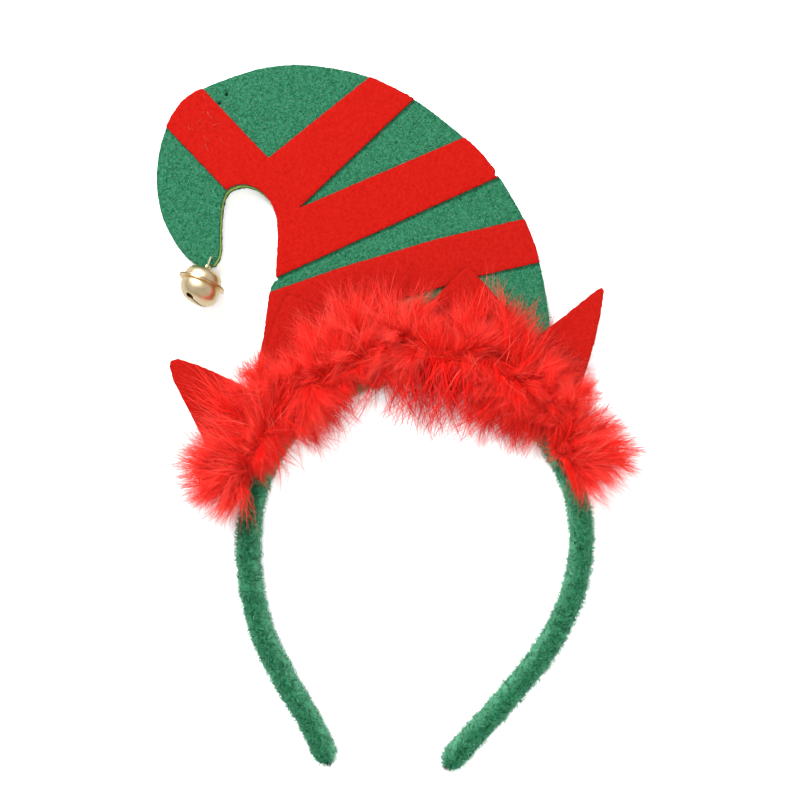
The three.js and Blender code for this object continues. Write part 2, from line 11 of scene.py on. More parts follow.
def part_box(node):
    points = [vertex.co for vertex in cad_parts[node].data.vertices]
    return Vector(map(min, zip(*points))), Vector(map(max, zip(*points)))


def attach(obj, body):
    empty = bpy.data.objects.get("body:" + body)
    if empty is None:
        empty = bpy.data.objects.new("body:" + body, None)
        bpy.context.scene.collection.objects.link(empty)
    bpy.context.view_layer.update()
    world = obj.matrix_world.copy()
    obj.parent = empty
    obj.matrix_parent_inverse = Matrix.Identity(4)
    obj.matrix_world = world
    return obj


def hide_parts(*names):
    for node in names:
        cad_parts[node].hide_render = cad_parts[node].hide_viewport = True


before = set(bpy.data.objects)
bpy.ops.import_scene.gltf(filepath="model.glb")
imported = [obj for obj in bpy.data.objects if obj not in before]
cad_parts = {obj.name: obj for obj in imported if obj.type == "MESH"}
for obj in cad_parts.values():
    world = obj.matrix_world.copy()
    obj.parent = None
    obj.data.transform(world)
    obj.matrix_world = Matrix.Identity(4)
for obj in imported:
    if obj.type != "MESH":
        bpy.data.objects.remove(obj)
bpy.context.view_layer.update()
scene = bpy.context.scene

# Table, lights and camera
# The headband lies face up on a plain white table. A wide soft light stands beyond the top of the
# hat, with weaker ones overhead and near the open ends, and the camera looks straight down.
MM = 0.001
PIXEL_AT_HAT = 0.375 * MM
EYE_OVER_HAT = 400 * MM
FRAME_SIDE_PX = 800
HAT_LEFT_PX = 156.4
HAT_TOP_PX = 64.4
SENSOR_MM = 36.0
ROOM_STRENGTH = 0.85
# the way up from straight below, as a share, and the grey seen there
ROOM_BANDS = ((0.0, 0.95), (0.44, 0.9), (0.5, 0.28), (0.6, 0.5), (0.8, 0.62), (0.93, 0.5), (1.0, 0.22))
TABLE_RADIUS = 1.6
TABLE_DROP = 0.05 * MM
TABLE_WHITE = (0.85, 0.85, 0.85, 1.0)


def placed(name, data):
    """A new object in the scene."""
    thing = bpy.data.objects.new(name, data)
    scene.collection.objects.link(thing)
    return thing


hat_low, hat_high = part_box("hat_front_felt")
camera_data = bpy.data.cameras.new("overhead_camera")
camera_data.sensor_width = SENSOR_MM
camera_data.lens = SENSOR_MM * EYE_OVER_HAT / (FRAME_SIDE_PX * PIXEL_AT_HAT)
camera_data.clip_start = 0.01
camera = placed("overhead_camera", camera_data)
camera.location = (
    hat_low.x + (FRAME_SIDE_PX / 2 - HAT_LEFT_PX) * PIXEL_AT_HAT,
    hat_high.y - (FRAME_SIDE_PX / 2 - HAT_TOP_PX) * PIXEL_AT_HAT,
    hat_high.z + EYE_OVER_HAT,
)
scene.camera = camera
scene.view_settings.view_transform = "Standard"


def soft_light(name, place, target, side, watts, mirrored):
    data = bpy.data.lights.new(name, "AREA")
    data.shape = "SQUARE"
    data.size = side
    data.energy = watts
    light = placed(name, data)
    light.location = place
    aim = Vector(target) - Vector(place)
    light.rotation_euler = aim.to_track_quat("-Z", "Y").to_euler()
    light.visible_glossy = mirrored


soft_light("key_beyond_hat", place=(-0.42, 0.75, 0.95), target=(-0.02, 0.03, 0.0),
           side=0.5, watts=36.0, mirrored=True)
soft_light("fill_overhead", place=(0.05, -0.12, 1.15), target=(0.0, 0.0, 0.0),
           side=0.7, watts=9.5, mirrored=False)
soft_light("fill_near", place=(0.55, -0.65, 0.75), target=(0.0, 0.0, 0.0),
           side=0.7, watts=8.1, mirrored=False)


def add_node(tree, kind, pins=None, **settings):
    """A node with its settings made and each pin linked to a socket or set to a value."""
    node = tree.nodes.new(kind)
    for label, value in settings.items():
        setattr(node, label, value)
    for label, value in (pins or {}).items():
        if isinstance(value, bpy.types.NodeSocket):
            tree.links.new(value, node.inputs[label])
        else:
            node.inputs[label].default_value = value
    return node


def add_ramp(tree, level, stops):
    """The colour that a ramp of places and colours gives at a level."""
    ramp = add_node(tree, "ShaderNodeValToRGB", {"Fac": level})
    while len(ramp.color_ramp.elements) < len(stops):
        ramp.color_ramp.elements.new(0.5)
    for stop, (place, colour) in zip(ramp.color_ramp.elements, stops):
        stop.position = place
        stop.color = colour
    return ramp.outputs["Color"]


def new_finish(name, constants):
    """A material with constants on its shader's own sockets, with its node tree and its shader."""
    finish = bpy.data.materials.new(name)
    finish.use_nodes = True
    shader = finish.node_tree.nodes["Principled BSDF"]
    for label, value in constants.items():
        shader.inputs[label].default_value = value
    return finish, finish.node_tree, shader


room = bpy.data.worlds.new("studio_room")
scene.world = room
room.use_nodes = True
room_way = add_node(room.node_tree, "ShaderNodeTexCoord").outputs["Generated"]
room_split = add_node(room.node_tree, "ShaderNodeSeparateXYZ", {0: room_way})
room_height = add_node(room.node_tree, "ShaderNodeMapRange", {
    "Value": room_split.outputs["Z"], "From Min": -1.0}).outputs["Result"]
room_stops = [(up, (grey, grey, grey, 1.0)) for up, grey in ROOM_BANDS]
room_tone = add_ramp(room.node_tree, room_height, room_stops)
room_light = room.node_tree.nodes["Background"].inputs
room.node_tree.links.new(room_tone, room_light["Color"])
room_light["Strength"].default_value = ROOM_STRENGTH

table_mesh = bpy.data.meshes.new("table_top")
table_bm = bmesh.new()
bmesh.ops.create_circle(table_bm, cap_ends=True, cap_tris=False, segments=96, radius=TABLE_RADIUS)
table_bm.to_mesh(table_mesh)
table_bm.free()
table = placed("table_top", table_mesh)
table.location.z = -TABLE_DROP
table.visible_glossy = False
table_mesh.materials.append(new_finish("white_table", {
    "Base Color": TABLE_WHITE, "Roughness": 0.85, "Specular IOR Level": 0.1})[0])

# Hoop
# An open, pear-shaped band wrapped in green plush, which hugs the head. The cover is a tube of
# brushed felt with a short curly nap, and its two free ends are gathered shut with a stitch.
HEAD_CENTRE = np.array((8.522, -44.895))
HEAD_RADIUS = 62.8
HOOP_MID_HEIGHT = 4.5
HOOP_HALF_WIDE = 4.2
HOOP_HALF_DEEP = 4.25
HOOP_GATHER = 4.6
PUCKER_RUN = 6.0
PUCKER_DEPTH = 0.11
PUCKER_FOLDS = 7
PUCKER_FROM = 0.6
HOOP_LUMPS = ({"share": 0.06, "size": 6.0, "seed": 3}, {"share": 0.08, "size": 2.2, "seed": 5},
              {"share": 0.08, "size": 1.0, "seed": 7})
HOOP_SIDES = 40
HOOP_STEP = 0.7
HOOP_CLEAR = 0.05
HOOP_TOP_SLOPE = 0.62
HOOP_LOW_SLOPE = -0.5
FIBRE_CLEAR = 0.02 * MM
# painted highlight on the hoop's sides: how it falls off round the tube, how strong and how patchy it is
HIGHLIGHT_POWER = 2.2
HIGHLIGHT_LEVEL = 0.75
HIGHLIGHT_PATCHY = 0.7
HIGHLIGHT_PATCH = 3.0
GATHER_SPREAD = 1.5 * MM
LEFT_ARM = ((-32.6, -85.1), (-39.0, -71.2), (-49.0, -54.1), (-57.5, -37.0), (-62.1, -17.6))
RIGHT_ARM = ((59.7, -20.8), (50.7, -40.1), (37.8, -57.1), (22.7, -74.2), (11.7, -86.6))
GREEN_DARK = (2, 66, 38)
GREEN_MID = (16, 99, 62)
GREEN_LIGHT = (68, 160, 114)
GREEN_PALE = (122, 214, 170)
# the paler green painted on the hoop's sides as a highlight
GREEN_RIM_HIGHLIGHT = (140, 238, 188)
# paler fibre tones for the hoop's sides, a painted highlight
RIM_HIGHLIGHT_DARK, RIM_HIGHLIGHT_PALE = (84, 184, 134), (150, 255, 202)
GATHER_DARK, GATHER_LIGHT = (4, 50, 30), (20, 84, 54)
LIGHT_LEVEL = 2.85


def unit(rows):
    return rows / np.linalg.norm(rows, axis=1)[:, None]


def paint(red, green, blue):
    """A colour read as eight-bit display values, as the albedo that shows it under these lights."""
    shown = np.array((red, green, blue)) / 255.0
    linear = np.where(shown <= 0.04045, shown / 12.92, ((shown + 0.055) / 1.055) ** 2.4)
    return (*(linear / LIGHT_LEVEL), 1.0)


def smooth_path(points, step):
    """Points a fixed step apart on a smooth curve through the given ones."""
    p = np.asarray(points, float)
    p = np.vstack((2 * p[0] - p[1], p, 2 * p[-1] - p[-2]))
    t = np.linspace(0, 1, 40, endpoint=False)[:, None]
    runs = []
    for a, b, c, d in zip(p[:-3], p[1:-2], p[2:-1], p[3:]):
        bend = (2 * a - 5 * b + 4 * c - d) * t**2 + (3 * b - a - 3 * c + d) * t**3
        runs.append(0.5 * (2 * b + (c - a) * t + bend))
    dense = np.vstack((*runs, p[-2:-1]))
    reach = np.concatenate(([0], np.cumsum(np.linalg.norm(np.diff(dense, axis=0), axis=1))))
    even = np.linspace(0, reach[-1], int(round(reach[-1] / step)) + 1)
    return np.stack([np.interp(even, reach, dense[:, k]) for k in range(p.shape[1])], axis=1)


def lumps(points, size, seed):
    """Soft noise between about -1 and 1 at each point, with lumps of the given size."""
    shift = Vector((seed * 7.3, seed * 3.1, seed * 5.7))
    return np.array([noise.noise(Vector(p) / size + shift) for p in points])


def solid(name, points, faces, finish):
    """A shaded mesh object from points in millimetres."""
    mesh = bpy.data.meshes.new(name)
    mesh.from_pydata((np.asarray(points) * MM).tolist(), [], faces, shade_flat=False)
    mesh.materials.append(finish)
    return placed(name, mesh)


def ring_faces(rings, sides, capped=True):
    """Faces of a tube of equal rings, closed by a flat cap at both ends."""
    faces = []
    for r in range(rings - 1):
        for k in range(sides):
            j = (k + 1) % sides
            faces.append((r * sides + k, r * sides + j, (r + 1) * sides + j, (r + 1) * sides + k))
    if capped:
        faces.append(tuple(reversed(range(sides))))
        faces.append(tuple((rings - 1) * sides + k for k in range(sides)))
    return faces


def fibre_group():
    """Shared look of brushed felt: squiggly light fibres, cloudy tone and a low relief."""
    tree = bpy.data.node_groups.new("brushed_fibres", "ShaderNodeTree")
    for label in ("Fibre Size", "Cloud Size"):
        tree.interface.new_socket(label, in_out="INPUT", socket_type="NodeSocketFloat")
    for label in ("Fibres", "Clouds", "Relief"):
        tree.interface.new_socket(label, in_out="OUTPUT", socket_type="NodeSocketFloat")
    given = add_node(tree, "NodeGroupInput").outputs
    place = add_node(tree, "ShaderNodeTexCoord").outputs["Object"]

    def sum_of(kind, a, b):
        return add_node(tree, "ShaderNodeMath", {0: a, 1: b}, operation=kind).outputs[0]

    def field(size, turn, detail, warp):
        mapping = add_node(tree, "ShaderNodeMapping", {"Vector": place, "Rotation": turn})
        return add_node(tree, "ShaderNodeTexNoise", {
            "Vector": mapping.outputs["Vector"], "Scale": sum_of("DIVIDE", 1.0, size),
            "Detail": detail, "Distortion": warp}).outputs[0]

    def ridge(value, sharp):
        away = sum_of("ABSOLUTE", sum_of("SUBTRACT", value, 0.5), 0.0)
        return sum_of("MAXIMUM", sum_of("SUBTRACT", 1.0, sum_of("MULTIPLY", away, sharp)), 0.0)

    squiggles = [ridge(field(given["Fibre Size"], turn, 1.0, 0.9), 9.0) for turn in (
        (0.3, 0.1, 0.6), (1.3, 0.7, 2.1))]
    fibres = sum_of("MAXIMUM", *squiggles)
    clouds = field(given["Cloud Size"], (0.2, 0.4, 1.1), 5.0, 0.2)
    relief = sum_of("ADD", sum_of("MULTIPLY", fibres, 0.5), clouds)
    add_node(tree, "NodeGroupOutput", {"Fibres": fibres, "Clouds": clouds, "Relief": relief})
    return tree


brushed_fibres = fibre_group()


def faded(tree, share, first, second):
    """One colour faded into another by a share."""
    return add_node(tree, "ShaderNodeMix", {"Factor": share, "A": first, "B": second},
                    data_type="RGBA").outputs["Result"]


def own(tree, label):
    """A value that the mesh carries itself."""
    return add_node(tree, "ShaderNodeAttribute", attribute_name=label).outputs["Fac"]


def felt_finish(name, tones, fibre_mm, cloud_mm, fibre_share, relief_mm, sheen, rim=None):
    """Felt in three tones, dark to light: clouds choose the tone, fibres lighten it, and a rim
    attribute fades it into a given colour: painted highlight on the hoop's sides, painted shade in pits."""
    finish, tree, shader = new_finish(name, {
        "Roughness": 0.95, "Specular IOR Level": 0.08, "Sheen Weight": sheen, "Sheen Roughness": 0.5,
        "Sheen Tint": paint(*tones[2])})
    felt = add_node(tree, "ShaderNodeGroup", {
        "Fibre Size": fibre_mm * MM, "Cloud Size": cloud_mm * MM}, node_tree=brushed_fibres).outputs
    level = add_node(tree, "ShaderNodeMath", {
        0: felt["Fibres"], 1: fibre_share, 2: felt["Clouds"]}, operation="MULTIPLY_ADD").outputs[0]
    stops = [(place, paint(*tone)) for place, tone in zip((0.3, 0.52, 0.85), tones)]
    colour = add_ramp(tree, level, stops)
    if rim:
        colour = faded(tree, own(tree, "rim"), colour, rim)
    bump = add_node(tree, "ShaderNodeBump", {
        "Height": felt["Relief"], "Strength": 0.6, "Distance": relief_mm * MM})
    tree.links.new(colour, shader.inputs["Base Color"])
    tree.links.new(bump.outputs["Normal"], shader.inputs["Normal"])
    return finish


def hair_finish(name, stops, tip=None):
    """Loose fibres toned by their own shade from stops of shade and colour, with an optional painted
    highlight at the tips.
    """
    finish, tree, shader = new_finish(name, {"Roughness": 0.85, "Specular IOR Level": 0.05})
    shade = own(tree, "shade")
    colour = add_ramp(tree, shade, stops)
    # the tip colour is a painted highlight, faded in towards each tip and more on lighter strands
    if tip:
        rise = add_node(tree, "ShaderNodeMath", {0: own(tree, "along"), 1: 2.0}, operation="POWER")
        lit = add_node(tree, "ShaderNodeMath", {0: rise.outputs[0], 1: shade}, operation="MULTIPLY")
        colour = faded(tree, lit.outputs[0], colour, tip)
    tree.links.new(colour, shader.inputs["Base Color"])
    return finish


def spokes(count):
    """Even turns round a ring, in radians."""
    return [2 * math.pi * k / count for k in range(count)]


def strand(name, segments, girth, bend, curl, sides=3, taper=0.65):
    """One closed, tapered strand of unit length along +Z, with its share of length kept as along."""
    points, share = [], []
    for r in range(segments):
        t = r / segments
        centre = np.array((bend * t**2, curl * math.sin(1.5 * math.pi * t), t))
        for turn in spokes(sides):
            points.append(centre + girth * (1 - taper * t) * np.array((math.cos(turn), math.sin(turn), 0)))
            share.append(t)
    points.append(np.array((bend, -curl, 1.0)))
    share.append(1.0)
    faces = ring_faces(segments, sides, capped=False) + [tuple(reversed(range(sides)))]
    last = (segments - 1) * sides
    faces += [(last + k, last + (k + 1) % sides, len(points) - 1) for k in range(sides)]
    mesh = bpy.data.meshes.new(name)
    mesh.from_pydata([tuple(p) for p in points], [], faces, shade_flat=False)
    mesh.attributes.new("along", "FLOAT", "POINT").data.foreach_set("value", share)
    return bpy.data.objects.new(name, mesh)


def strand_set(name, rows):
    """A store of strand shapes, which is not itself part of the scene."""
    store = bpy.data.collections.new(name)
    for i, row in enumerate(rows):
        store.objects.link(strand(f"{name}_{i:02d}", *row))
    return store


def named_inputs(tree, rows):
    tree.interface.new_socket("Geometry", in_out="INPUT", socket_type="NodeSocketGeometry")
    for label, kind in rows:
        tree.interface.new_socket(label, in_out="INPUT", socket_type="NodeSocket" + kind)
    tree.interface.new_socket("Geometry", in_out="OUTPUT", socket_type="NodeSocketGeometry")
    return tree.nodes.new("NodeGroupInput").outputs, tree.nodes.new("NodeGroupOutput").inputs


def strands_on(tree, given, put, points, kind, turn, size, shade=None):
    """Sets a strand from the store on each point, makes it real and dresses it."""
    store = add_node(tree, "GeometryNodeCollectionInfo", {
        "Collection": given["Strands"], "Separate Children": True, "Reset Children": True})
    laid = add_node(tree, "GeometryNodeInstanceOnPoints", {
        "Points": points, "Instance": store.outputs[0], "Pick Instance": True,
        "Instance Index": kind, "Rotation": turn, "Scale": size}).outputs[0]
    if shade is not None:
        kept = add_node(tree, "GeometryNodeStoreNamedAttribute", {
            "Geometry": laid, "Name": "shade", "Value": shade}, data_type="FLOAT", domain="INSTANCE")
        laid = kept.outputs[0]
    real = add_node(tree, "GeometryNodeRealizeInstances", {0: laid}).outputs[0]
    dressed = add_node(tree, "GeometryNodeSetMaterial", {"Geometry": real, "Material": given["Finish"]})
    tree.links.new(dressed.outputs[0], put["Geometry"])


def nap_nodes():
    """Loose fibres scattered over a surface: each leans from the surface and turns at random."""
    tree = bpy.data.node_groups.new("brushed_nap", "GeometryNodeTree")
    given, put = named_inputs(tree, (
        ("Strands", "Collection"), ("Kinds", "Int"), ("Per Square Metre", "Float"),
        ("Shortest", "Float"), ("Longest", "Float"), ("Least Lean", "Float"), ("Most Lean", "Float"),
        ("Seed", "Int"), ("Finish", "Material"),
    ))

    def chance(kind, low, high, offset):
        seed = add_node(tree, "ShaderNodeMath", {0: given["Seed"], 1: offset}).outputs[0]
        node = add_node(tree, "FunctionNodeRandomValue", {
            "Min": low, "Max": high, "Seed": seed}, data_type=kind)
        return next(pin for pin in node.outputs if pin.enabled)

    scatter = add_node(tree, "GeometryNodeDistributePointsOnFaces", {
        "Mesh": given["Geometry"], "Density": given["Per Square Metre"], "Seed": given["Seed"]}).outputs
    lean = add_node(tree, "ShaderNodeCombineXYZ", {
        "X": chance("FLOAT", given["Least Lean"], given["Most Lean"], 1),
        "Z": chance("FLOAT", 0.0, 2 * math.pi, 2)}).outputs[0]
    turn = add_node(tree, "FunctionNodeEulerToRotation", {0: lean}).outputs[0]
    tilt = add_node(tree, "FunctionNodeRotateRotation", {
        "Rotation": scatter["Rotation"], "Rotate By": turn}, rotation_space="LOCAL").outputs[0]
    strands_on(tree, given, put, scatter["Points"], chance("INT", 0, given["Kinds"], 3), tilt,
               chance("FLOAT", given["Shortest"], given["Longest"], 4), chance("FLOAT", 0.0, 1.0, 5))
    return tree


brushed_nap = nap_nodes()


def grown(name, surface, tree, settings):
    """What a node tree grows on a surface mesh, turned into a plain mesh piece."""
    piece = placed(name, surface)
    growth = piece.modifiers.new("growth", "NODES")
    growth.node_group = tree
    for item in tree.interface.items_tree:
        if item.in_out == "INPUT" and item.name in settings:
            growth[item.identifier] = settings[item.name]
    depsgraph = bpy.context.evaluated_depsgraph_get()
    mesh = bpy.data.meshes.new_from_object(piece.evaluated_get(depsgraph))
    mesh.name = name
    piece.modifiers.clear()
    piece.data = mesh
    return piece


def tree_of(piece):
    corners = [v.co.copy() for v in piece.data.vertices]
    return BVHTree.FromPolygons(corners, [tuple(f.vertices) for f in piece.data.polygons])


def open_faces(piece, keep, covers=(), clear=0.05 * MM):
    """The faces of a piece that pass a test and that nothing covers, as a mesh for fibres to grow on."""
    over = [tree_of(cover) for cover in covers]
    kept = []
    for face in piece.data.polygons:
        spot = face.center + Vector((0, 0, clear))
        if keep(face) and not any(t.ray_cast(spot, Vector((0, 0, 1)))[0] for t in over):
            kept.append(tuple(face.vertices))
    mesh = bpy.data.meshes.new(piece.name + "_open")
    mesh.from_pydata([tuple(v.co) for v in piece.data.vertices], [], kept)
    return mesh


def coordinates(piece):
    flat = np.empty(len(piece.data.vertices) * 3, np.float32)
    piece.data.vertices.foreach_get("co", flat)
    return flat.reshape(-1, 3)


def place_vertices(piece, points):
    piece.data.vertices.foreach_set("co", np.ascontiguousarray(points, np.float32).ravel())
    piece.data.update()


hoop_arc = [(HEAD_RADIUS * math.cos(a), HEAD_RADIUS * math.sin(a)) for a in np.radians(range(180, -1, -20))]
hoop_path = smooth_path((*LEFT_ARM, *hoop_arc, *RIGHT_ARM), HOOP_STEP) + HEAD_CENTRE
hoop_along = unit(np.gradient(hoop_path, axis=0))
hoop_reach = np.arange(len(hoop_path)) * HOOP_STEP
hoop_inset = np.minimum(hoop_reach, hoop_reach[::-1])
gather = np.sqrt(np.clip(1 - (1 - np.clip(hoop_inset / HOOP_GATHER, 0.02, 1)) ** 2, 0.03, 1))
pucker = np.clip(1 - hoop_inset / PUCKER_RUN, 0, 1)
hoop_points = []
for (x, y), (ux, uy), g, fold in zip(hoop_path, hoop_along, gather, pucker):
    for turn in spokes(HOOP_SIDES):
        r = g * (1 + PUCKER_DEPTH * fold * math.sin(PUCKER_FOLDS * turn + PUCKER_FROM))
        out = HOOP_HALF_WIDE * r * math.cos(turn)
        rise = HOOP_HALF_DEEP * r * math.sin(turn)
        hoop_points.append((x - uy * out, y + ux * out, HOOP_MID_HEIGHT + rise))
hoop_points = np.array(hoop_points)
hoop_middle = np.repeat(hoop_path, HOOP_SIDES, axis=0)
hoop_middle = np.column_stack((hoop_middle, np.full(len(hoop_points), HOOP_MID_HEIGHT)))
swell = np.ones(len(hoop_points))
for lump in HOOP_LUMPS:
    swell += lump["share"] * lumps(hoop_points, lump["size"], lump["seed"])
hoop_points = hoop_middle + (hoop_points - hoop_middle) * swell[:, None]
hoop_points[:, 2] = np.maximum(hoop_points[:, 2], HOOP_CLEAR)

plush = felt_finish("green_plush", (GREEN_DARK, GREEN_MID, GREEN_LIGHT), fibre_mm=0.8, cloud_mm=1.2,
                    fibre_share=0.32, relief_mm=0.5, sheen=0.3, rim=paint(*GREEN_RIM_HIGHLIGHT))
hoop = solid("hoop_plush", hoop_points, ring_faces(len(hoop_path), HOOP_SIDES), plush)
# painted highlight: the tube's sides fade towards a paler green through the rim attribute, in patches
hoop_around = np.tile(np.arange(HOOP_SIDES) * 2 * math.pi / HOOP_SIDES, len(hoop_path))
hoop_rim_highlight = np.abs(np.cos(hoop_around)) ** HIGHLIGHT_POWER
hoop_rim_highlight = np.clip(hoop_rim_highlight * (HIGHLIGHT_LEVEL + HIGHLIGHT_PATCHY * lumps(hoop_points, HIGHLIGHT_PATCH, 13)), 0, 1)
hoop.data.attributes.new("rim", "FLOAT", "POINT").data.foreach_set("value", hoop_rim_highlight)
CURLS = strand_set("curl", (
    (2, 0.09, 0.5, 0.15), (2, 0.075, 0.3, 0.3), (2, 0.085, 0.75, 0.2), (2, 0.07, 0.55, -0.3)))
HOOP_ENDS = [Vector((*hoop_path[i], HOOP_MID_HEIGHT)) * MM for i in (0, -1)]
plush_fibre = hair_finish("green_plush_fibre", (
    (0.0, paint(*GREEN_DARK)), (0.6, paint(*GREEN_LIGHT)), (1.0, paint(*GREEN_PALE))))
# the side fibres are a paler copy of the top ones: painted highlight
rim_highlight_fibre = hair_finish("green_rim_fibre", (
    (0.0, paint(*RIM_HIGHLIGHT_DARK)), (0.5, paint(*GREEN_PALE)), (1.0, paint(*RIM_HIGHLIGHT_PALE))))
stitch_fibre = hair_finish("green_stitch", ((0.0, paint(*GATHER_DARK)), (1.0, paint(*GATHER_LIGHT))))


def at_hoop_end(face):
    return min((face.center - end).length for end in HOOP_ENDS) < GATHER_SPREAD


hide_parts("hoop")
hoop_pieces = [hoop]
for name, keep, finish, settings in (
    ("hoop_nap", lambda face: face.normal.z > HOOP_TOP_SLOPE, plush_fibre, {
        "Per Square Metre": 1.5e6, "Shortest": 0.9 * MM, "Longest": 2.5 * MM,
        "Least Lean": 0.9, "Most Lean": 1.45, "Seed": 11}),
    ("hoop_fuzz", lambda face: HOOP_LOW_SLOPE < face.normal.z <= HOOP_TOP_SLOPE, rim_highlight_fibre, {
        "Per Square Metre": 1.5e6, "Shortest": 0.8 * MM, "Longest": 2.4 * MM,
        "Least Lean": 0.2, "Most Lean": 1.35, "Seed": 12}),
    ("hoop_stitches", at_hoop_end, stitch_fibre, {
        "Per Square Metre": 5.0e6, "Shortest": 1.2 * MM, "Longest": 2.4 * MM,
        "Least Lean": 0.0, "Most Lean": 0.5, "Seed": 13}),
):
    fibres = grown(name, open_faces(hoop, keep), brushed_nap, {
        "Strands": CURLS, "Kinds": 3, "Finish": finish, **settings})
    fibre_points = coordinates(fibres)
    fibre_points[:, 2] = np.maximum(fibre_points[:, 2], FIBRE_CLEAR)
    place_vertices(fibres, fibre_points)
    hoop_pieces.append(fibres)
for piece in hoop_pieces:
    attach(piece, "root")

# Hat sandwich
# The flat elf hat is a dark felt back, a lime foam sheet and a mottled green felt front, cut in
# one go with the same blade and glued. The layers show as thin lines at the edges.
FOAM_TONES = ((168, 204, 78), (204, 236, 112), (222, 246, 146))
BACK_TONES = ((16, 66, 44), (30, 94, 64), (52, 120, 88))
FRONT_TONES = ((8, 90, 56), (29, 116, 78), (72, 154, 116))
# near-black green painted into the pits as shade
PIT_SHADE_TONE = (10, 44, 30)
PITS = ((-62.3, 121.5), (-65.0, 118.2))
PIT_CLEAR = 1.3
PIT_RINGS = ({"radius": 0.0, "depth": 1.0, "points": 1}, {"radius": 0.42, "depth": 1.0, "points": 8},
             {"radius": 0.8, "depth": 0.05, "points": 12})
EDGE_STEP = 0.7
FELT_RIM = 0.32
RIM_BEVEL = 0.3
WAVE_SIZE = 9.0


def cut_outline(node, step, jag, rng):
    """The upper edge of a flat solid in millimetres, walked anticlockwise in even steps."""
    bm = bmesh.new()
    bm.from_mesh(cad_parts[node].data)
    bmesh.ops.remove_doubles(bm, verts=bm.verts, dist=2e-6)
    top = max(v.co.z for v in bm.verts)
    upper = [f for f in bm.faces if f.normal.z > 0.9 and min(v.co.z for v in f.verts) > top - 2e-5]
    known = set(upper)
    after = {}
    for face in upper:
        for corner in face.loops:
            if sum(other in known for other in corner.edge.link_faces) == 1:
                after[corner.vert.index] = corner.link_loop_next.vert.index
    bm.verts.ensure_lookup_table()
    loops = []
    while after:
        at = next(iter(after))
        loop = []
        while at in after:
            loop.append(bm.verts[at].co.xy / MM)
            at = after.pop(at)
        loops.append(np.array(loop))
    bm.free()
    loop = max(loops, key=lambda run: np.linalg.norm(np.diff(run, axis=0), axis=1).sum())
    ring = np.vstack((loop, loop[:1]))
    reach = np.concatenate(([0], np.cumsum(np.linalg.norm(np.diff(ring, axis=0), axis=1))))
    even = np.linspace(0, reach[-1], int(reach[-1] / step), endpoint=False)
    walk = np.stack([np.interp(even, reach, ring[:, k]) for k in (0, 1)], axis=1)
    return walk + outward(walk) * rng.normal(0, jag, len(walk))[:, None]


def outward(loop):
    run = np.roll(loop, -1, axis=0) - np.roll(loop, 1, axis=0)
    run /= np.maximum(np.linalg.norm(run, axis=1), 1e-6)[:, None]
    return np.stack((run[:, 1], -run[:, 0]), axis=1)


def drawn_in(loop, inset):
    """The loop moved inwards; where a tight corner would cross itself, its points move together."""
    shift = -outward(loop) * inset
    for _ in range(40):
        run = loop + shift
        edge = np.roll(run, -1, axis=0) - run
        tangled = False
        for ahead in range(2, 14):
            gap, other = np.roll(run, -ahead, axis=0) - run, np.roll(edge, -ahead, axis=0)
            turn = edge[:, 0] * other[:, 1] - edge[:, 1] * other[:, 0]
            turn = np.where(np.abs(turn) < 1e-12, 1e-12, turn)
            here = (gap[:, 0] * other[:, 1] - gap[:, 1] * other[:, 0]) / turn
            there = (gap[:, 0] * edge[:, 1] - gap[:, 1] * edge[:, 0]) / turn
            crossed = (here >= 0) & (here <= 1) & (there >= 0) & (there <= 1)
            for i in np.nonzero(crossed)[0]:
                span = np.arange(i - 1, i + ahead + 3) % len(loop)
                shift[span] = shift[span].mean(axis=0)
                tangled = True
        if not tangled:
            break
    return loop + shift


def inner_points(loop, spacing, rng):
    """A jittered field of points inside a loop, clear of its edge."""
    low, high = loop.min(axis=0), loop.max(axis=0)
    xs, ys = np.arange(low[0], high[0], spacing), np.arange(low[1], high[1], spacing * 0.87)
    field = np.array([(x + (0.5 * spacing if r % 2 else 0), y) for r, y in enumerate(ys) for x in xs])
    field += rng.uniform(-0.2, 0.2, field.shape) * spacing
    inside = np.zeros(len(field), bool)
    for a, b in zip(loop, np.roll(loop, -1, axis=0)):
        if a[1] != b[1]:
            cross = a[0] + (field[:, 1] - a[1]) * (b[0] - a[0]) / (b[1] - a[1])
            inside ^= ((a[1] > field[:, 1]) != (b[1] > field[:, 1])) & (field[:, 0] < cross)
    field = field[inside]
    near = np.array([((loop - p) ** 2).sum(axis=1).min() for p in field])
    return field[near > (0.6 * spacing) ** 2]


def flat_cut(loop):
    """The area of a cut sheet, and the sides of the smallest rectangle it can be cut from, in metres."""
    x, y = loop[:, 0], loop[:, 1]
    area = 0.5 * abs((x * np.roll(y, -1) - y * np.roll(x, -1)).sum())
    blanks = []
    for turn in np.radians(range(0, 90, 2)):
        along, across = x * math.cos(turn) + y * math.sin(turn), y * math.cos(turn) - x * math.sin(turn)
        blanks.append((np.ptp(along), np.ptp(across)))
    wide, long = sorted(min(blanks, key=lambda sides: sides[0] * sides[1]))
    return area * MM * MM, (wide * MM, long * MM)


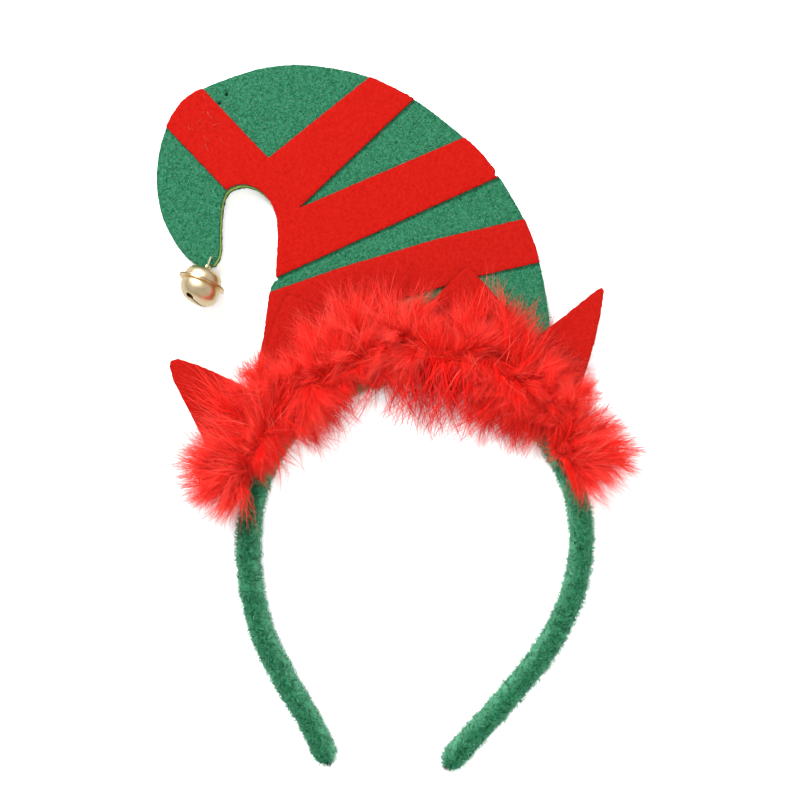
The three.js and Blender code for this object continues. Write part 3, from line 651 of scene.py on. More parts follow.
def cut_slab(name, node, finish, seed, jag=0.05, rim=FELT_RIM, spacing=1.7, wave=0.07, pits=()):
    """A cut sheet: the solid's outline with a soft rim, a fine ragged edge and a slightly wavy face."""
    rng = np.random.default_rng(seed)
    loop = cut_outline(node, EDGE_STEP, jag, rng)
    low, high = (corner.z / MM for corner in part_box(node))
    rim = min(rim, 0.4 * (high - low))
    bevel = RIM_BEVEL * rim
    inner, middle = drawn_in(loop, rim), drawn_in(loop, bevel)
    rows = ((inner, low), (middle, low + bevel), (loop, low + rim),
            (loop, high - rim), (middle, high - bevel), (inner, high))
    count = len(loop)
    edge_count = len(rows) * count
    points = [np.column_stack((run, np.full(count, z))) for run, z in rows]
    faces = ring_faces(len(rows), count, capped=False)
    field = inner_points(inner, spacing, rng)
    dents = np.zeros(len(field))
    for pit in pits:
        clear = ((field - pit) ** 2).sum(axis=1) > PIT_CLEAR**2
        field, dents = field[clear], dents[clear]
        for ring in PIT_RINGS:
            turns = np.arange(ring["points"]) * 2 * math.pi / ring["points"]
            extra = np.array(pit) + ring["radius"] * np.stack((np.cos(turns), np.sin(turns)), axis=1)
            field = np.vstack((field, extra))
            dents = np.concatenate((dents, np.full(ring["points"], ring["depth"])))
    lift = high + wave * lumps(np.column_stack((field, np.zeros(len(field)))), WAVE_SIZE, seed) - dents
    points.append(np.column_stack((field, lift)))
    for start, more in ((edge_count - count, field), (0, field[:0])):
        flat = [Vector(p) for p in np.vstack((inner, more))]
        made, _, triangles, source, _, _ = delaunay_2d_cdt(flat, [], [tuple(range(count))], 1, 1e-5)
        index = [s[0] + start if s[0] < count else edge_count + s[0] - count for s in source]
        if len(made) != len(flat):
            raise ValueError(f"{name}: the outline crosses itself")
        for triangle in triangles:
            corners = [index[v] for v in triangle]
            faces.append(tuple(corners) if start else tuple(reversed(corners)))
    piece = solid(name, np.vstack(points), faces, finish)
    # painted shade: the pits' dents fade to near-black green through the rim attribute
    if pits:
        shaded = np.concatenate((np.zeros(edge_count), np.minimum(1.2 * dents, 1)))
        piece.data.attributes.new("rim", "FLOAT", "POINT").data.foreach_set("value", shaded)
    return piece, flat_cut(loop)


def laid_sheet(piece, node):
    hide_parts(node)
    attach(piece, "root")


back_felt = felt_finish("dark_green_felt", BACK_TONES, fibre_mm=2.0, cloud_mm=1.2,
                        fibre_share=0.3, relief_mm=0.25, sheen=0.05)
lime_foam = felt_finish("lime_foam", FOAM_TONES, fibre_mm=0.5, cloud_mm=0.9,
                        fibre_share=0.1, relief_mm=0.2, sheen=0.0)
green_felt = felt_finish("green_felt", FRONT_TONES, fibre_mm=0.8, cloud_mm=0.9,
                         fibre_share=0.3, relief_mm=0.2, sheen=0.03, rim=paint(*PIT_SHADE_TONE))
hat_back, back_cut = cut_slab("hat_back", "hat_back_felt", back_felt, 21, jag=0.07, spacing=4.0)
hat_core, _ = cut_slab("hat_core", "hat_foam_core", lime_foam, 22, jag=0.06, rim=0.15,
                       spacing=5.0, wave=0.03)
hat_front, front_cut = cut_slab("hat_front", "hat_front_felt", green_felt, 23, pits=PITS)
laid_sheet(hat_back, "hat_back_felt")
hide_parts("hat_foam_core")
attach(hat_core, "root")
laid_sheet(hat_front, "hat_front_felt")

# Stripes
# Two red felt shapes glued on the hat front: a comb of three fingers that meet at the hook, and
# a single lower stripe. The felt is smoother and finer than the green, with a fine cut edge.
RED_TONES = ((196, 12, 5), (213, 20, 9), (224, 33, 20))
# a darker copy of the red for the lower stripe and the collar: painted shade, for light falling off towards
# the fluff
RED_SHADED_TONES = ((192, 13, 6), (208, 22, 12), (220, 35, 23))
RED_FELT = {"fibre_mm": 0.6, "cloud_mm": 1.1, "fibre_share": 0.2, "relief_mm": 0.12, "sheen": 0.04}
red_felt = felt_finish("red_felt", RED_TONES, **RED_FELT)
shaded_red_felt = felt_finish("red_felt_low", RED_SHADED_TONES, **RED_FELT)
stripes = []
for name, node, finish, seed in (
    ("stripe_fingers", "stripe_comb", red_felt, 41), ("stripe_lower", "stripe_low", shaded_red_felt, 42),
):
    stripe, stripe_cut = cut_slab(name, node, finish, seed, jag=0.07, rim=0.28, wave=0.05)
    laid_sheet(stripe, node)
    stripes.append(stripe)

# Collar
# One strip of the same red felt cut into four points, glued over the base of the hat and the
# front of the hoop. Its outer points stand free of the hat.
# the collar wears the darker copy of the red felt, painted shade
collar, collar_cut = cut_slab("collar_points", "collar", shaded_red_felt, 51, jag=0.07, rim=0.28, wave=0.08)
laid_sheet(collar, "collar")

# Felt nap
# Loose wool fibres that the carding leaves on the open faces of the felt. The green felt has long
# pale ones in every direction, the red felt a short, close nap with some stray lint at the brow.
GREEN_FIBRES = {"Per Square Metre": 1.0e6, "Shortest": 0.9 * MM, "Longest": 2.3 * MM,
                "Least Lean": 1.5, "Most Lean": 1.57}
RED_FIBRES = {"Per Square Metre": 0.15e6, "Shortest": 0.4 * MM, "Longest": 0.9 * MM,
              "Least Lean": 1.3, "Most Lean": 1.5}
LINT_FIBRES = {"Per Square Metre": 0.1e6, "Shortest": 1.6 * MM, "Longest": 4.4 * MM,
               "Least Lean": 1.5, "Most Lean": 1.56}
LINT_PLACE = Vector((-67.5, 110.5, 9.0)) * MM
LINT_SPREAD = 9.0 * MM
UP_SLOPE = 0.4
HAIRS = strand_set("hair", (
    (2, 0.072, 0.15, 0.14), (2, 0.062, 0.4, 0.2), (2, 0.07, 0.1, -0.25), (2, 0.06, 0.6, 0.1)))
LINT = strand_set("lint", ((3, 0.022, 0.3, 0.14), (3, 0.018, 0.5, 0.1), (3, 0.022, 0.15, -0.2)))
felt_fibre = hair_finish("green_felt_fibre", (
    (0.0, paint(36, 118, 82)), (0.55, paint(78, 160, 120)), (1.0, paint(138, 210, 172))))
red_fibre = hair_finish("red_felt_fibre", ((0.0, paint(204, 22, 13)), (1.0, paint(236, 52, 40))))
lint_pale = hair_finish("pale_lint", ((0.0, paint(238, 84, 66)), (1.0, paint(250, 150, 132))))


def faces_up(face):
    return face.normal.z > UP_SLOPE


def at_brow(face):
    return faces_up(face) and (face.center - LINT_PLACE).length < LINT_SPREAD


for piece, covers, slot, fibres, finish, seed in (
    (hat_front, [*stripes, collar], "green_felt", GREEN_FIBRES, felt_fibre, 31),
    (stripes[0], [collar], "red_felt", RED_FIBRES, red_fibre, 41),
    (stripes[1], [collar], "red_felt", RED_FIBRES, red_fibre, 42),
    (collar, [], "red_felt", RED_FIBRES, red_fibre, 52),
):
    nap = grown(piece.name + "_nap", open_faces(piece, faces_up, covers), brushed_nap, {
        "Strands": HAIRS, "Kinds": 3, "Seed": seed, "Finish": finish, **fibres})
    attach(nap, "root")
lint = grown("stripe_lint", open_faces(stripes[0], at_brow), brushed_nap, {
    "Strands": LINT, "Kinds": 2, "Seed": 43, "Finish": lint_pale, **LINT_FIBRES})
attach(lint, "root")

# Feather trim
# A boa of red marabou sewn along the base of the hat: a thin core cord from which tufts of very
# fine barbs spread on all sides, lie over the felt and droop past the hoop, bushy at both ends.
TRIM_SEED = 2027
TRIM_RADIUS = 70.5
TRIM_HEIGHT = 14.6
TRIM_FIRST, TRIM_LAST = -66.0, 60.0
TRIM_END_RADIUS = 65.0
TRIM_END_RUN = 22.0
TRIM_WANDER = ({"wide": 1.6, "pace": 0.29, "start": 1.0}, {"wide": 1.0, "pace": 0.63, "start": 0.0})
# fans that lie outwards and inwards, then those that rise to either side; low and high are degrees
PLUME_GROUPS = (
    {"count": 60, "low": -6, "high": 46}, {"count": 54, "low": 136, "high": 186},
    {"count": 14, "low": 34, "high": 68}, {"count": 12, "low": 112, "high": 146},
)
PLUME_SWEEP, PLUME_SWEEP_MOST = 0.45, 0.9
PLUME_ROLL = 0.25
PLUME_SINK, PLUME_CURVE = 0.2, 0.18
PLUME_SHADE, PLUME_SHADE_VARIES = 0.5, 0.2
# painted shade on plumes that lean inwards, away from the key light, and painted light on the bushy ends
INWARD_PAINTED_SHADE, END_PAINTED_LIGHT = 0.1, 0.15
ROOT_SPREAD = 5
OUTER_SHARE = 1.4
INNER_SHARE = 1.44
STEM_SHARE = 0.42
TOP_REACH = 17.0
RISE_FROM = 0.55
RISE_SWEEP, RISE_SWEEP_VARIES = 0.65, 0.5
END_PLUMES = 11
END_LEAN = (-5, 80)
LEFT_SWEEP, RIGHT_SWEEP = (0.3, 1.05), (0.35, 0.98)
END_REACH, END_REACH_LEFT, END_REACH_FLAT = 25.3, 0.9, 9
PLUME_LOCKS = 44
LOCK_BARBS = 7
LOCK_RUFFLE, BARB_RUFFLE = 0.25, 0.045
LOCK_SPLAY, LOCK_SPLAY_FALL, LOCK_SPLAY_VARIES, BARB_SPLAY = 54, 44, 7, 1.7
LOCK_SIZE, LOCK_SIZE_FALL = 0.68, 0.12
LONG_LOCKS, LONG_LOCK_SIZE = 0.04, 1.35
LOCK_BEND, BARB_BEND = 0.18, 0.13
BEND_ALONG, BEND_DOWN = 0.5, 0.4
LOCK_SHADE, BARB_SHADE = 0.2, 0.08
BARB_SLIP = 0.035
DOWN_BARBS = 2300
WISPS = 380
WISP_BARBS = 3
WISP_INWARD = 0.7
WISP_CLUSTER, WISP_CLUSTER_RUN = 7, 14
WISP_LONG_AT, WISP_LONG_RUN = 2, 24
LONG_BARB = 12.5
PALE_SHARE = 0.035
TRIM_PIECES = 4
CORE_RINGS, CORE_SIDES = 190, 16
CORE_WIDE, CORE_DEEP = 2.6, 2.2
CORE_TAPER = 4.0
CORE_TONES = ((190, 18, 11), (214, 26, 17), (232, 40, 28))
CHART_STEP = 0.8
CHART_LOW = np.array((-100.0, -70.0))
CHART_COUNT = np.array((251, 176))
FELT_CLEAR = 0.2
FELT_EASE = 2.0
FEATHER_CROWN, FEATHER_CROWN_SOFT = 25.0, 10
# the deepest red, reached only by the wisps: painted shade
FEATHER_SHADED_DEEP = (0.42, 0.010, 0.012, 1.0)
FEATHER_DARK, FEATHER_DARK_AT = (0.63, 0.007, 0.004, 1.0), 0.15
FEATHER_LIGHT, FEATHER_LIGHT_AT = (0.70, 0.015, 0.009, 1.0), 0.8
FEATHER_PALE = (0.78, 0.11, 0.08, 1.0)
# pale pink faded into the barb tips as a painted highlight
FEATHER_TIP_HIGHLIGHT = (0.74, 0.095, 0.072, 1.0)
# degrees from the top of the hat, positive to the right, and the inner and outer reach of the
# fluff there, from the head centre
FLUFF_REACH = (
    (-90, 70, 84), (-78, 70, 88), (-66, 65, 90), (-54, 53, 93), (-46, 51, 95), (-42, 50, 92),
    (-36, 49, 86), (-30, 50, 89), (-25, 57, 92), (-18, 60, 95), (-12, 59, 97), (-9, 54, 98),
    (-3, 54, 93), (3, 55, 85), (12, 54, 88), (18, 53, 91), (25, 50, 96), (30, 48, 95),
    (42, 48, 90), (48, 59, 88), (54, 66, 87), (66, 68, 88), (78, 69, 90), (90, 69, 84),
)
reach_turn, reach_inner, reach_outer = zip(*FLUFF_REACH)
upward = np.array((0.0, 0.0, 1.0))


def trim_core(turn):
    """Places on the core cord in millimetres, by degrees from the top of the hat."""
    turn = np.asarray(turn, float)
    inset = np.minimum(turn - TRIM_FIRST, TRIM_LAST - turn)
    share = np.clip(inset / TRIM_END_RUN, 0, 1)
    radius = TRIM_END_RADIUS + (TRIM_RADIUS - TRIM_END_RADIUS) * share * (2 - share)
    for wave in TRIM_WANDER:
        radius = radius + wave["wide"] * np.sin(wave["pace"] * turn + wave["start"])
    angle = np.radians(90 - turn)
    x, y = HEAD_CENTRE[0] + radius * np.cos(angle), HEAD_CENTRE[1] + radius * np.sin(angle)
    return np.stack((x, y, np.full_like(x, TRIM_HEIGHT)), axis=-1)


def level_ways(turn):
    """Level directions at degrees from the top of the hat: away from the head, and on to the right."""
    angle, level = np.radians(90 - turn), np.zeros(len(turn))
    return (np.stack((np.cos(angle), np.sin(angle), level), axis=1),
            np.stack((np.sin(angle), -np.cos(angle), level), axis=1))


trim_rng = np.random.default_rng(TRIM_SEED)
uniform, normal = trim_rng.uniform, trim_rng.normal


def either(count):
    """One side or the other for each, as -1 or 1."""
    return np.where(uniform(0, 1, count) < 0.5, -1.0, 1.0)


plume_turn, plume_lean = [], []
for group in PLUME_GROUPS:
    spots = (np.arange(group["count"]) + uniform(0, 1, group["count"])) / group["count"]
    plume_turn.append(TRIM_FIRST + (TRIM_LAST - TRIM_FIRST) * spots)
    plume_lean.append(uniform(group["low"], group["high"], group["count"]))
for end in (TRIM_FIRST, TRIM_LAST):
    plume_turn.append(np.full(END_PLUMES, end))
    plume_lean.append(np.linspace(*END_LEAN, END_PLUMES))
plume_turn = np.concatenate(plume_turn)
plume_lean = np.radians(np.concatenate(plume_lean))
plumes = len(plume_turn)
at_end = np.concatenate((np.zeros(plumes - 2 * END_PLUMES), np.repeat((-1.0, 1.0), END_PLUMES)))
plume_sweep = np.clip(normal(0, PLUME_SWEEP, plumes), -PLUME_SWEEP_MOST, PLUME_SWEEP_MOST)
rising = (np.sin(plume_lean) > RISE_FROM) & (at_end == 0)
rise_sweep = RISE_SWEEP * np.sign(plume_sweep) + RISE_SWEEP_VARIES * plume_sweep
plume_sweep = np.where(rising, rise_sweep, plume_sweep)
left_sweep, right_sweep = (uniform(*span, plumes) for span in (LEFT_SWEEP, RIGHT_SWEEP))
end_sweep = np.where(at_end < 0, left_sweep, right_sweep)
plume_sweep = np.where(at_end != 0, at_end * end_sweep, plume_sweep)
radial, tangent = level_ways(plume_turn)
plume_root = trim_core(plume_turn) + radial * uniform(-ROOT_SPREAD, ROOT_SPREAD, plumes)[:, None]
side = radial * np.cos(plume_lean)[:, None] + upward * np.sin(plume_lean)[:, None]
plume_way = side * np.cos(plume_sweep)[:, None] + tangent * np.sin(plume_sweep)[:, None]
root_radius = np.linalg.norm(plume_root[:, :2] - HEAD_CENTRE, axis=1)
long_out = OUTER_SHARE * (np.interp(plume_turn, reach_turn, reach_outer) - root_radius)
long_in = INNER_SHARE * (root_radius - np.interp(plume_turn, reach_turn, reach_inner))
flat_share = np.cos(plume_lean) ** 2
plume_reach = np.where(np.cos(plume_lean) > 0, long_out, long_in)
plume_reach = plume_reach * flat_share + TOP_REACH * (1 - flat_share)
end_reach = END_REACH - END_REACH_LEFT * at_end + END_REACH_FLAT * np.cos(plume_lean)
plume_reach = np.where(at_end != 0, end_reach, plume_reach)
plume_reach *= uniform(0.85, 1.1, plumes)
plume_droop = -PLUME_SINK * upward + PLUME_CURVE * normal(0, 1, (plumes, 3))
plume_shade = normal(PLUME_SHADE, PLUME_SHADE_VARIES, plumes)
# painted shade on inward plumes and painted highlight on the end plumes
plume_shade = plume_shade - INWARD_PAINTED_SHADE * (np.cos(plume_lean) < 0) + END_PAINTED_LIGHT * np.abs(at_end)
flat_way = unit(tangent - plume_way * (tangent * plume_way).sum(axis=1)[:, None])
plume_roll = normal(0, PLUME_ROLL, plumes)[:, None]
flat_way = flat_way * np.cos(plume_roll) + np.cross(plume_way, flat_way) * np.sin(plume_roll)

# barbs cling together in locks, in two combs along each stem, and spread less towards its tip
lock_owner = np.repeat(np.arange(plumes), PLUME_LOCKS)
locks = len(lock_owner)
lock_share = uniform(0.0, 1.0, locks)
lock_hand = either(locks)
lock_ruffle = normal(0, LOCK_RUFFLE, locks)
lock_splay = LOCK_SPLAY - LOCK_SPLAY_FALL * lock_share + normal(0, LOCK_SPLAY_VARIES, locks)
lock_size = (LOCK_SIZE - LOCK_SIZE_FALL * lock_share) * uniform(0.62, 1.08, locks)
long_lock = uniform(0, 1, locks) < LONG_LOCKS
lock_size = np.where(long_lock, LONG_LOCK_SIZE * lock_size, lock_size)
lock_bend = normal(0, LOCK_BEND, (locks, 3))
lock_shade = plume_shade[lock_owner] + normal(0, LOCK_SHADE, locks)

lock = np.repeat(np.arange(locks), LOCK_BARBS)
owner = lock_owner[lock]
many = len(lock)
share = np.clip(lock_share[lock] + normal(0, BARB_SLIP, many), 0, 1)
ruffle = lock_ruffle[lock] + normal(0, BARB_RUFFLE, many)
splay = np.radians(lock_splay[lock] + normal(0, BARB_SPLAY, many))[:, None]
stem = (STEM_SHARE * plume_reach[owner])[:, None]
stem_way = unit(plume_way[owner] + 2 * share[:, None] * plume_droop[owner])
stem_run = plume_way[owner] * share[:, None] + plume_droop[owner] * share[:, None] ** 2
root = plume_root[owner] + stem * stem_run
side_way = flat_way[owner] * (lock_hand[lock] * np.cos(ruffle))[:, None]
side_way += np.cross(plume_way[owner], flat_way[owner]) * np.sin(ruffle)[:, None]
way = unit(stem_way * np.cos(splay) + side_way * np.sin(splay))
size = plume_reach[owner] * lock_size[lock] * uniform(0.78, 1.12, many)
bend_to = BEND_ALONG * stem_way - BEND_DOWN * upward + lock_bend[lock]
bend_to = bend_to + normal(0, BARB_BEND, (many, 3))
shade = np.clip(lock_shade[lock] + normal(0, BARB_SHADE, many), FEATHER_DARK_AT, 1)
barb_rows = [(plume_turn[owner], root, way, size, bend_to, shade)]

# short down that hides the core
down_turn = uniform(TRIM_FIRST, TRIM_LAST, DOWN_BARBS)
down_radial, down_tangent = level_ways(down_turn)
down_way = either(DOWN_BARBS)[:, None] * down_radial
down_way += normal(0, 0.5, (DOWN_BARBS, 1)) * down_tangent
down_way = unit(down_way + upward * uniform(-0.1, 0.9, (DOWN_BARBS, 1)))
down_root = trim_core(down_turn) + uniform(-2.5, 3.5, (DOWN_BARBS, 1)) * down_way
down_size = uniform(5, 10, DOWN_BARBS)
down_bend = normal(0, 0.4, (DOWN_BARBS, 3)) - upward
down_shade = uniform(0.15, 0.8, DOWN_BARBS)
barb_rows.append((down_turn, down_root, down_way, down_size, down_bend, down_shade))

# long loose wisps past the edge of the fluff, most of them on the inner side, in a dark red that is painted
# shade
wisp = np.repeat(np.arange(WISPS), WISP_BARBS)
wisp_turn = np.concatenate((
    uniform(TRIM_FIRST, TRIM_LAST, WISPS // 2),
    normal(WISP_CLUSTER, WISP_CLUSTER_RUN, WISPS - WISPS // 2)))
wisp_inward = uniform(0, 1, WISPS) < WISP_INWARD
wisp_radial, wisp_tangent = level_ways(wisp_turn)
wisp_sign = np.where(wisp_inward, -1.0, 1.0)[:, None]
wisp_inner = TRIM_RADIUS - np.interp(wisp_turn, reach_turn, reach_inner)
wisp_outer = np.interp(wisp_turn, reach_turn, reach_outer) - TRIM_RADIUS
wisp_more = uniform(1, 8, WISPS)
wisp_long = np.exp(-((wisp_turn - WISP_LONG_AT) / WISP_LONG_RUN) ** 2)
wisp_more = wisp_more + uniform(3, 17, WISPS) * wisp_long
wisp_size = np.where(wisp_inward, wisp_inner + wisp_more, wisp_outer + uniform(1, 6, WISPS))
wisp_way = wisp_radial * wisp_sign + wisp_tangent * normal(0, 0.3, (WISPS, 1))
wisp_way = unit(wisp_way + upward * uniform(-0.25, 0.25, (WISPS, 1)))
wisp_bend = wisp_tangent * normal(0, 0.8, (WISPS, 1))
wisp_bend = wisp_bend - upward * uniform(0.0, 0.8, (WISPS, 1))
barb_rows.append((
    wisp_turn[wisp], trim_core(wisp_turn)[wisp],
    unit(wisp_way[wisp] + normal(0, 0.03, (len(wisp), 3))),
    wisp_size[wisp] * uniform(0.8, 1.08, len(wisp)), wisp_bend[wisp] + 0.1 * upward,
    # wisps toned dark: painted shade
    uniform(0.0, 0.3, WISPS)[wisp],
))

barb_turn, root, way, size, bend_to, shade = (np.concatenate(column) for column in zip(*barb_rows))
pale = uniform(0, 1, len(shade)) < PALE_SHARE
shade = np.where(pale, 1.0, np.minimum(shade, FEATHER_LIGHT_AT))
bend_way = unit(bend_to - way * (bend_to * way).sum(axis=1)[:, None])
cross = np.cross(way, bend_way)
euler = np.stack((
    np.arctan2(cross[:, 2], way[:, 2]),
    np.arcsin(np.clip(-bend_way[:, 2], -1, 1)),
    np.arctan2(bend_way[:, 1], bend_way[:, 0]),
), axis=1)
short_kind, long_kind = (trim_rng.integers(*span, len(size)) for span in ((0, 4), (4, 8)))
kind = np.where(size < LONG_BARB, short_kind, long_kind)
kind[-len(wisp):] = trim_rng.integers(8, 10, len(wisp))

# four short shapes of barb, four long ones and two for the wisps
BARBS = strand_set("barb", (
    (2, 0.0058, 0.1, 0.05), (2, 0.0052, 0.25, -0.08), (2, 0.0058, 0.4, 0.1), (2, 0.0052, 0.18, -0.12),
    (3, 0.0038, 0.15, 0.05), (3, 0.0034, 0.35, -0.08), (3, 0.0038, 0.5, 0.09), (3, 0.0034, 0.26, -0.12),
    (4, 0.006, 0.4, 0.1), (4, 0.0052, 0.6, -0.12),
))


def boa_nodes():
    """One barb on each point of a chart, turned, sized, picked and shaded by the chart's columns."""
    tree = bpy.data.node_groups.new("marabou_boa", "GeometryNodeTree")
    given, put = named_inputs(tree, (("Strands", "Collection"), ("Finish", "Material")))

    def column(label, kind):
        node = add_node(tree, "GeometryNodeInputNamedAttribute", {"Name": label}, data_type=kind)
        return next(pin for pin in node.outputs if pin.enabled and pin.name == "Attribute")

    turn = add_node(tree, "FunctionNodeEulerToRotation", {0: column("turn", "FLOAT_VECTOR")}).outputs[0]
    strands_on(tree, given, put, given["Geometry"], column("kind", "INT"), turn, column("size", "FLOAT"))
    return tree


marabou_boa = boa_nodes()
marabou = hair_finish("red_marabou", (
    (0.0, FEATHER_SHADED_DEEP), (FEATHER_DARK_AT, FEATHER_DARK), (FEATHER_LIGHT_AT, FEATHER_LIGHT),
    (1.0, FEATHER_PALE)), FEATHER_TIP_HIGHLIGHT)

# what lies under the fluff, as a chart of heights
under_trees = [tree_of(piece) for piece in (hoop, hat_front, *stripes, collar)]
heights = np.zeros(CHART_COUNT)
for i in range(CHART_COUNT[0]):
    for j in range(CHART_COUNT[1]):
        start = Vector((*((CHART_LOW + CHART_STEP * np.array((i, j))) * MM), 0.1))
        for tree in under_trees:
            hit = tree.ray_cast(start, Vector((0, 0, -1)))[0]
            if hit:
                heights[i, j] = max(heights[i, j], hit.z / MM)
spread_heights = heights.copy()
for di, dj in ((1, 0), (-1, 0), (0, 1), (0, -1)):
    spread_heights = np.maximum(spread_heights, np.roll(heights, (di, dj), axis=(0, 1)))


def rest_on_felt(points):
    """Barbs that would sink into the felt, the hoop or the table are eased up to lie on it, and
    those that stand over the crown are pressed down towards it."""
    cell = np.rint((points[:, :2] - CHART_LOW) / CHART_STEP).astype(int)
    cell = np.clip(cell, 0, CHART_COUNT - 1)
    floor = spread_heights[cell[:, 0], cell[:, 1]] + FELT_CLEAR
    gap = points[:, 2] - floor
    eased = floor + FELT_EASE * np.exp((np.minimum(gap, FELT_EASE) - FELT_EASE) / FELT_EASE)
    points[:, 2] = np.where(gap < FELT_EASE, eased, points[:, 2])
    over = np.maximum(points[:, 2] - FEATHER_CROWN, 0)
    pressed = FEATHER_CROWN_SOFT * (1 - np.exp(-over / FEATHER_CROWN_SOFT))
    points[:, 2] = np.minimum(points[:, 2], FEATHER_CROWN) + pressed
    return points


core_turns = np.linspace(TRIM_FIRST - 1, TRIM_LAST + 1, CORE_RINGS)
core_path = trim_core(core_turns)
core_points = []
for (x, y, z), turn in zip(core_path, np.radians(90 - core_turns)):
    for around in spokes(CORE_SIDES):
        out, rise = CORE_WIDE * math.cos(around), CORE_DEEP * math.sin(around)
        core_points.append((x + out * math.cos(turn), y + out * math.sin(turn), z + rise))
core_points = np.array(core_points)
core_middle = np.repeat(core_path, CORE_SIDES, axis=0)
core_inset = np.minimum(np.arange(CORE_RINGS), np.arange(CORE_RINGS)[::-1])
core_taper = np.clip(core_inset / CORE_TAPER, 0.15, 1) ** 0.5
core_swell = (1 + 0.3 * lumps(core_points, 5.0, 9)) * np.repeat(core_taper, CORE_SIDES)
core_points = core_middle + (core_points - core_middle) * core_swell[:, None]
core_felt = felt_finish("red_feather_core", CORE_TONES, fibre_mm=1.2, cloud_mm=2.0,
                        fibre_share=0.3, relief_mm=0.6, sheen=0.0)
trim_cord = solid("feather_core", core_points, ring_faces(CORE_RINGS, CORE_SIDES), core_felt)

strand_order = np.argsort(barb_turn, kind="stable")
feather_pieces = [trim_cord]
for part, chosen in enumerate(np.array_split(strand_order, TRIM_PIECES)):
    chart = bpy.data.meshes.new("barb_chart")
    chart.from_pydata((root[chosen] * MM).tolist(), [], [])
    for label, form, values in (
        ("turn", "FLOAT_VECTOR", euler[chosen].ravel()), ("size", "FLOAT", size[chosen] * MM),
        ("shade", "FLOAT", shade[chosen]), ("kind", "INT", kind[chosen]),
    ):
        data = chart.attributes.new(label, form, "POINT").data
        data.foreach_set("vector" if form == "FLOAT_VECTOR" else "value", values)
    tuft = grown(f"feather_{part}", chart, marabou_boa, {"Strands": BARBS, "Finish": marabou})
    place_vertices(tuft, rest_on_felt(coordinates(tuft).astype(float) / MM) * MM)
    feather_pieces.append(tuft)
for piece in feather_pieces:
    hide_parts("feather_trim")
    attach(piece, "root")

# Bell
# A gold-plated jingle bell pressed from two thin cups that meet in a flange, with a wire loop on
# top and a slot with round ends below. It hangs at the tip of the hat, its lower cup a bit askew.
BELL_SPOT = (-71.278, 50.705)
BELL_HEIGHT = 9.1
BELL_TURN = 20
BELL_TILT = 10
BELL_PLACE = Matrix.Translation((*BELL_SPOT, BELL_HEIGHT)) @ Matrix.Rotation(
    math.radians(-BELL_TURN), 4, "Z") @ Matrix.Rotation(math.radians(-BELL_TILT), 4, "X")
BELL_WALL = 0.6
BELL_AROUND = 96
BELL_SHARP = 38
CUP_POWER = 3.2
FLANGE_RADIUS = 8.8
FLANGE_HALF = 0.5
FLANGE_BEVEL = {"in": 0.12, "down": 0.15}
FLANGE_LIP = {"in": 0.1, "high": 0.2}
FLANGE_STEP = 0.05
SEAM_HALF = 0.12
UPPER_RADIUS, UPPER_HIGH, UPPER_GROOVE = 7.1, 5.4, 0.1
LOWER_RADIUS, LOWER_LOW, LOWER_GROOVE = 7.5, 7.7, 0.45
LOWER_SHOULDER = {"in": 0.12, "high": 0.8}
LOWER_LEAN = 0.12
LOWER_SKEW = 0.13
SLOT_WIDE = 0.95
SLOT_DEEP = 6.0
SLOT_OUT = 3.7
SLOT_TURN = -38
SLOT_HOLE, SLOT_HOLE_TILT, SLOT_HOLE_RISE = 1.45, 24, 1.2
LOOP_WIRE = 0.28
LOOP_HALF = 0.8
LOOP_TOP = 6.2
LOOP_FOOT = 0.5
LOOP_SHOULDER = 0.4
LOOP_LIFT = 14
LOOP_STEP = 0.22
LOOP_SIDES = 12
GOLD_DEEP = (0.91, 0.69, 0.39, 1.0)
GOLD_PALE = (1.0, 0.83, 0.54, 1.0)
GOLD_GRAINS = 420.0
GOLD_ROUGH_LEAST, GOLD_ROUGH_MOST = 0.24, 0.4
gold, gold_tree, gold_shader = new_finish("gold_plate", {"Metallic": 1.0})
gold_place = add_node(gold_tree, "ShaderNodeTexCoord").outputs["Object"]
gold_noise = add_node(gold_tree, "ShaderNodeTexNoise", {
    "Vector": gold_place, "Scale": GOLD_GRAINS, "Detail": 4.0}).outputs["Fac"]
gold_rough = add_node(gold_tree, "ShaderNodeMapRange", {
    "Value": gold_noise, "To Min": GOLD_ROUGH_LEAST, "To Max": GOLD_ROUGH_MOST}).outputs["Result"]
gold_colour = add_ramp(gold_tree, gold_noise, ((0.3, GOLD_DEEP), (0.7, GOLD_PALE)))
gold_tree.links.new(gold_colour, gold_shader.inputs["Base Color"])
gold_tree.links.new(gold_rough, gold_shader.inputs["Roughness"])


def dome(radius, height, first, last, steps):
    turns = np.radians(np.linspace(first, last, steps))
    r = radius * np.clip(np.cos(turns), 0, 1) ** (2 / CUP_POWER)
    return list(zip(r, height * np.sin(turns) ** (2 / CUP_POWER)))


def turned(name, profile, finish):
    """A closed profile of radius and height turned about the bell's axis."""
    bm = bmesh.new()
    rings = [[bm.verts.new((r * math.cos(a), h, r * math.sin(a))) for a in spokes(BELL_AROUND)]
             for r, h in profile]
    for here, there in zip(rings, rings[1:] + rings[:1]):
        for k in range(BELL_AROUND):
            j = (k + 1) % BELL_AROUND
            bm.faces.new((here[k], here[j], there[j], there[k]))
    bmesh.ops.remove_doubles(bm, verts=bm.verts, dist=1e-4)
    bmesh.ops.dissolve_degenerate(bm, edges=bm.edges, dist=1e-5)
    bmesh.ops.recalc_face_normals(bm, faces=bm.faces)
    mesh = bpy.data.meshes.new(name)
    bm.to_mesh(mesh)
    bm.free()
    mesh.materials.append(finish)
    return mesh


def seat_bell(name, mesh, node):
    mesh.transform(Matrix.Scale(MM, 4) @ BELL_PLACE)
    mesh.shade_smooth()
    mesh.set_sharp_from_angle(angle=math.radians(BELL_SHARP))
    piece = placed(name, mesh)
    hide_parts(node)
    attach(piece, "root")


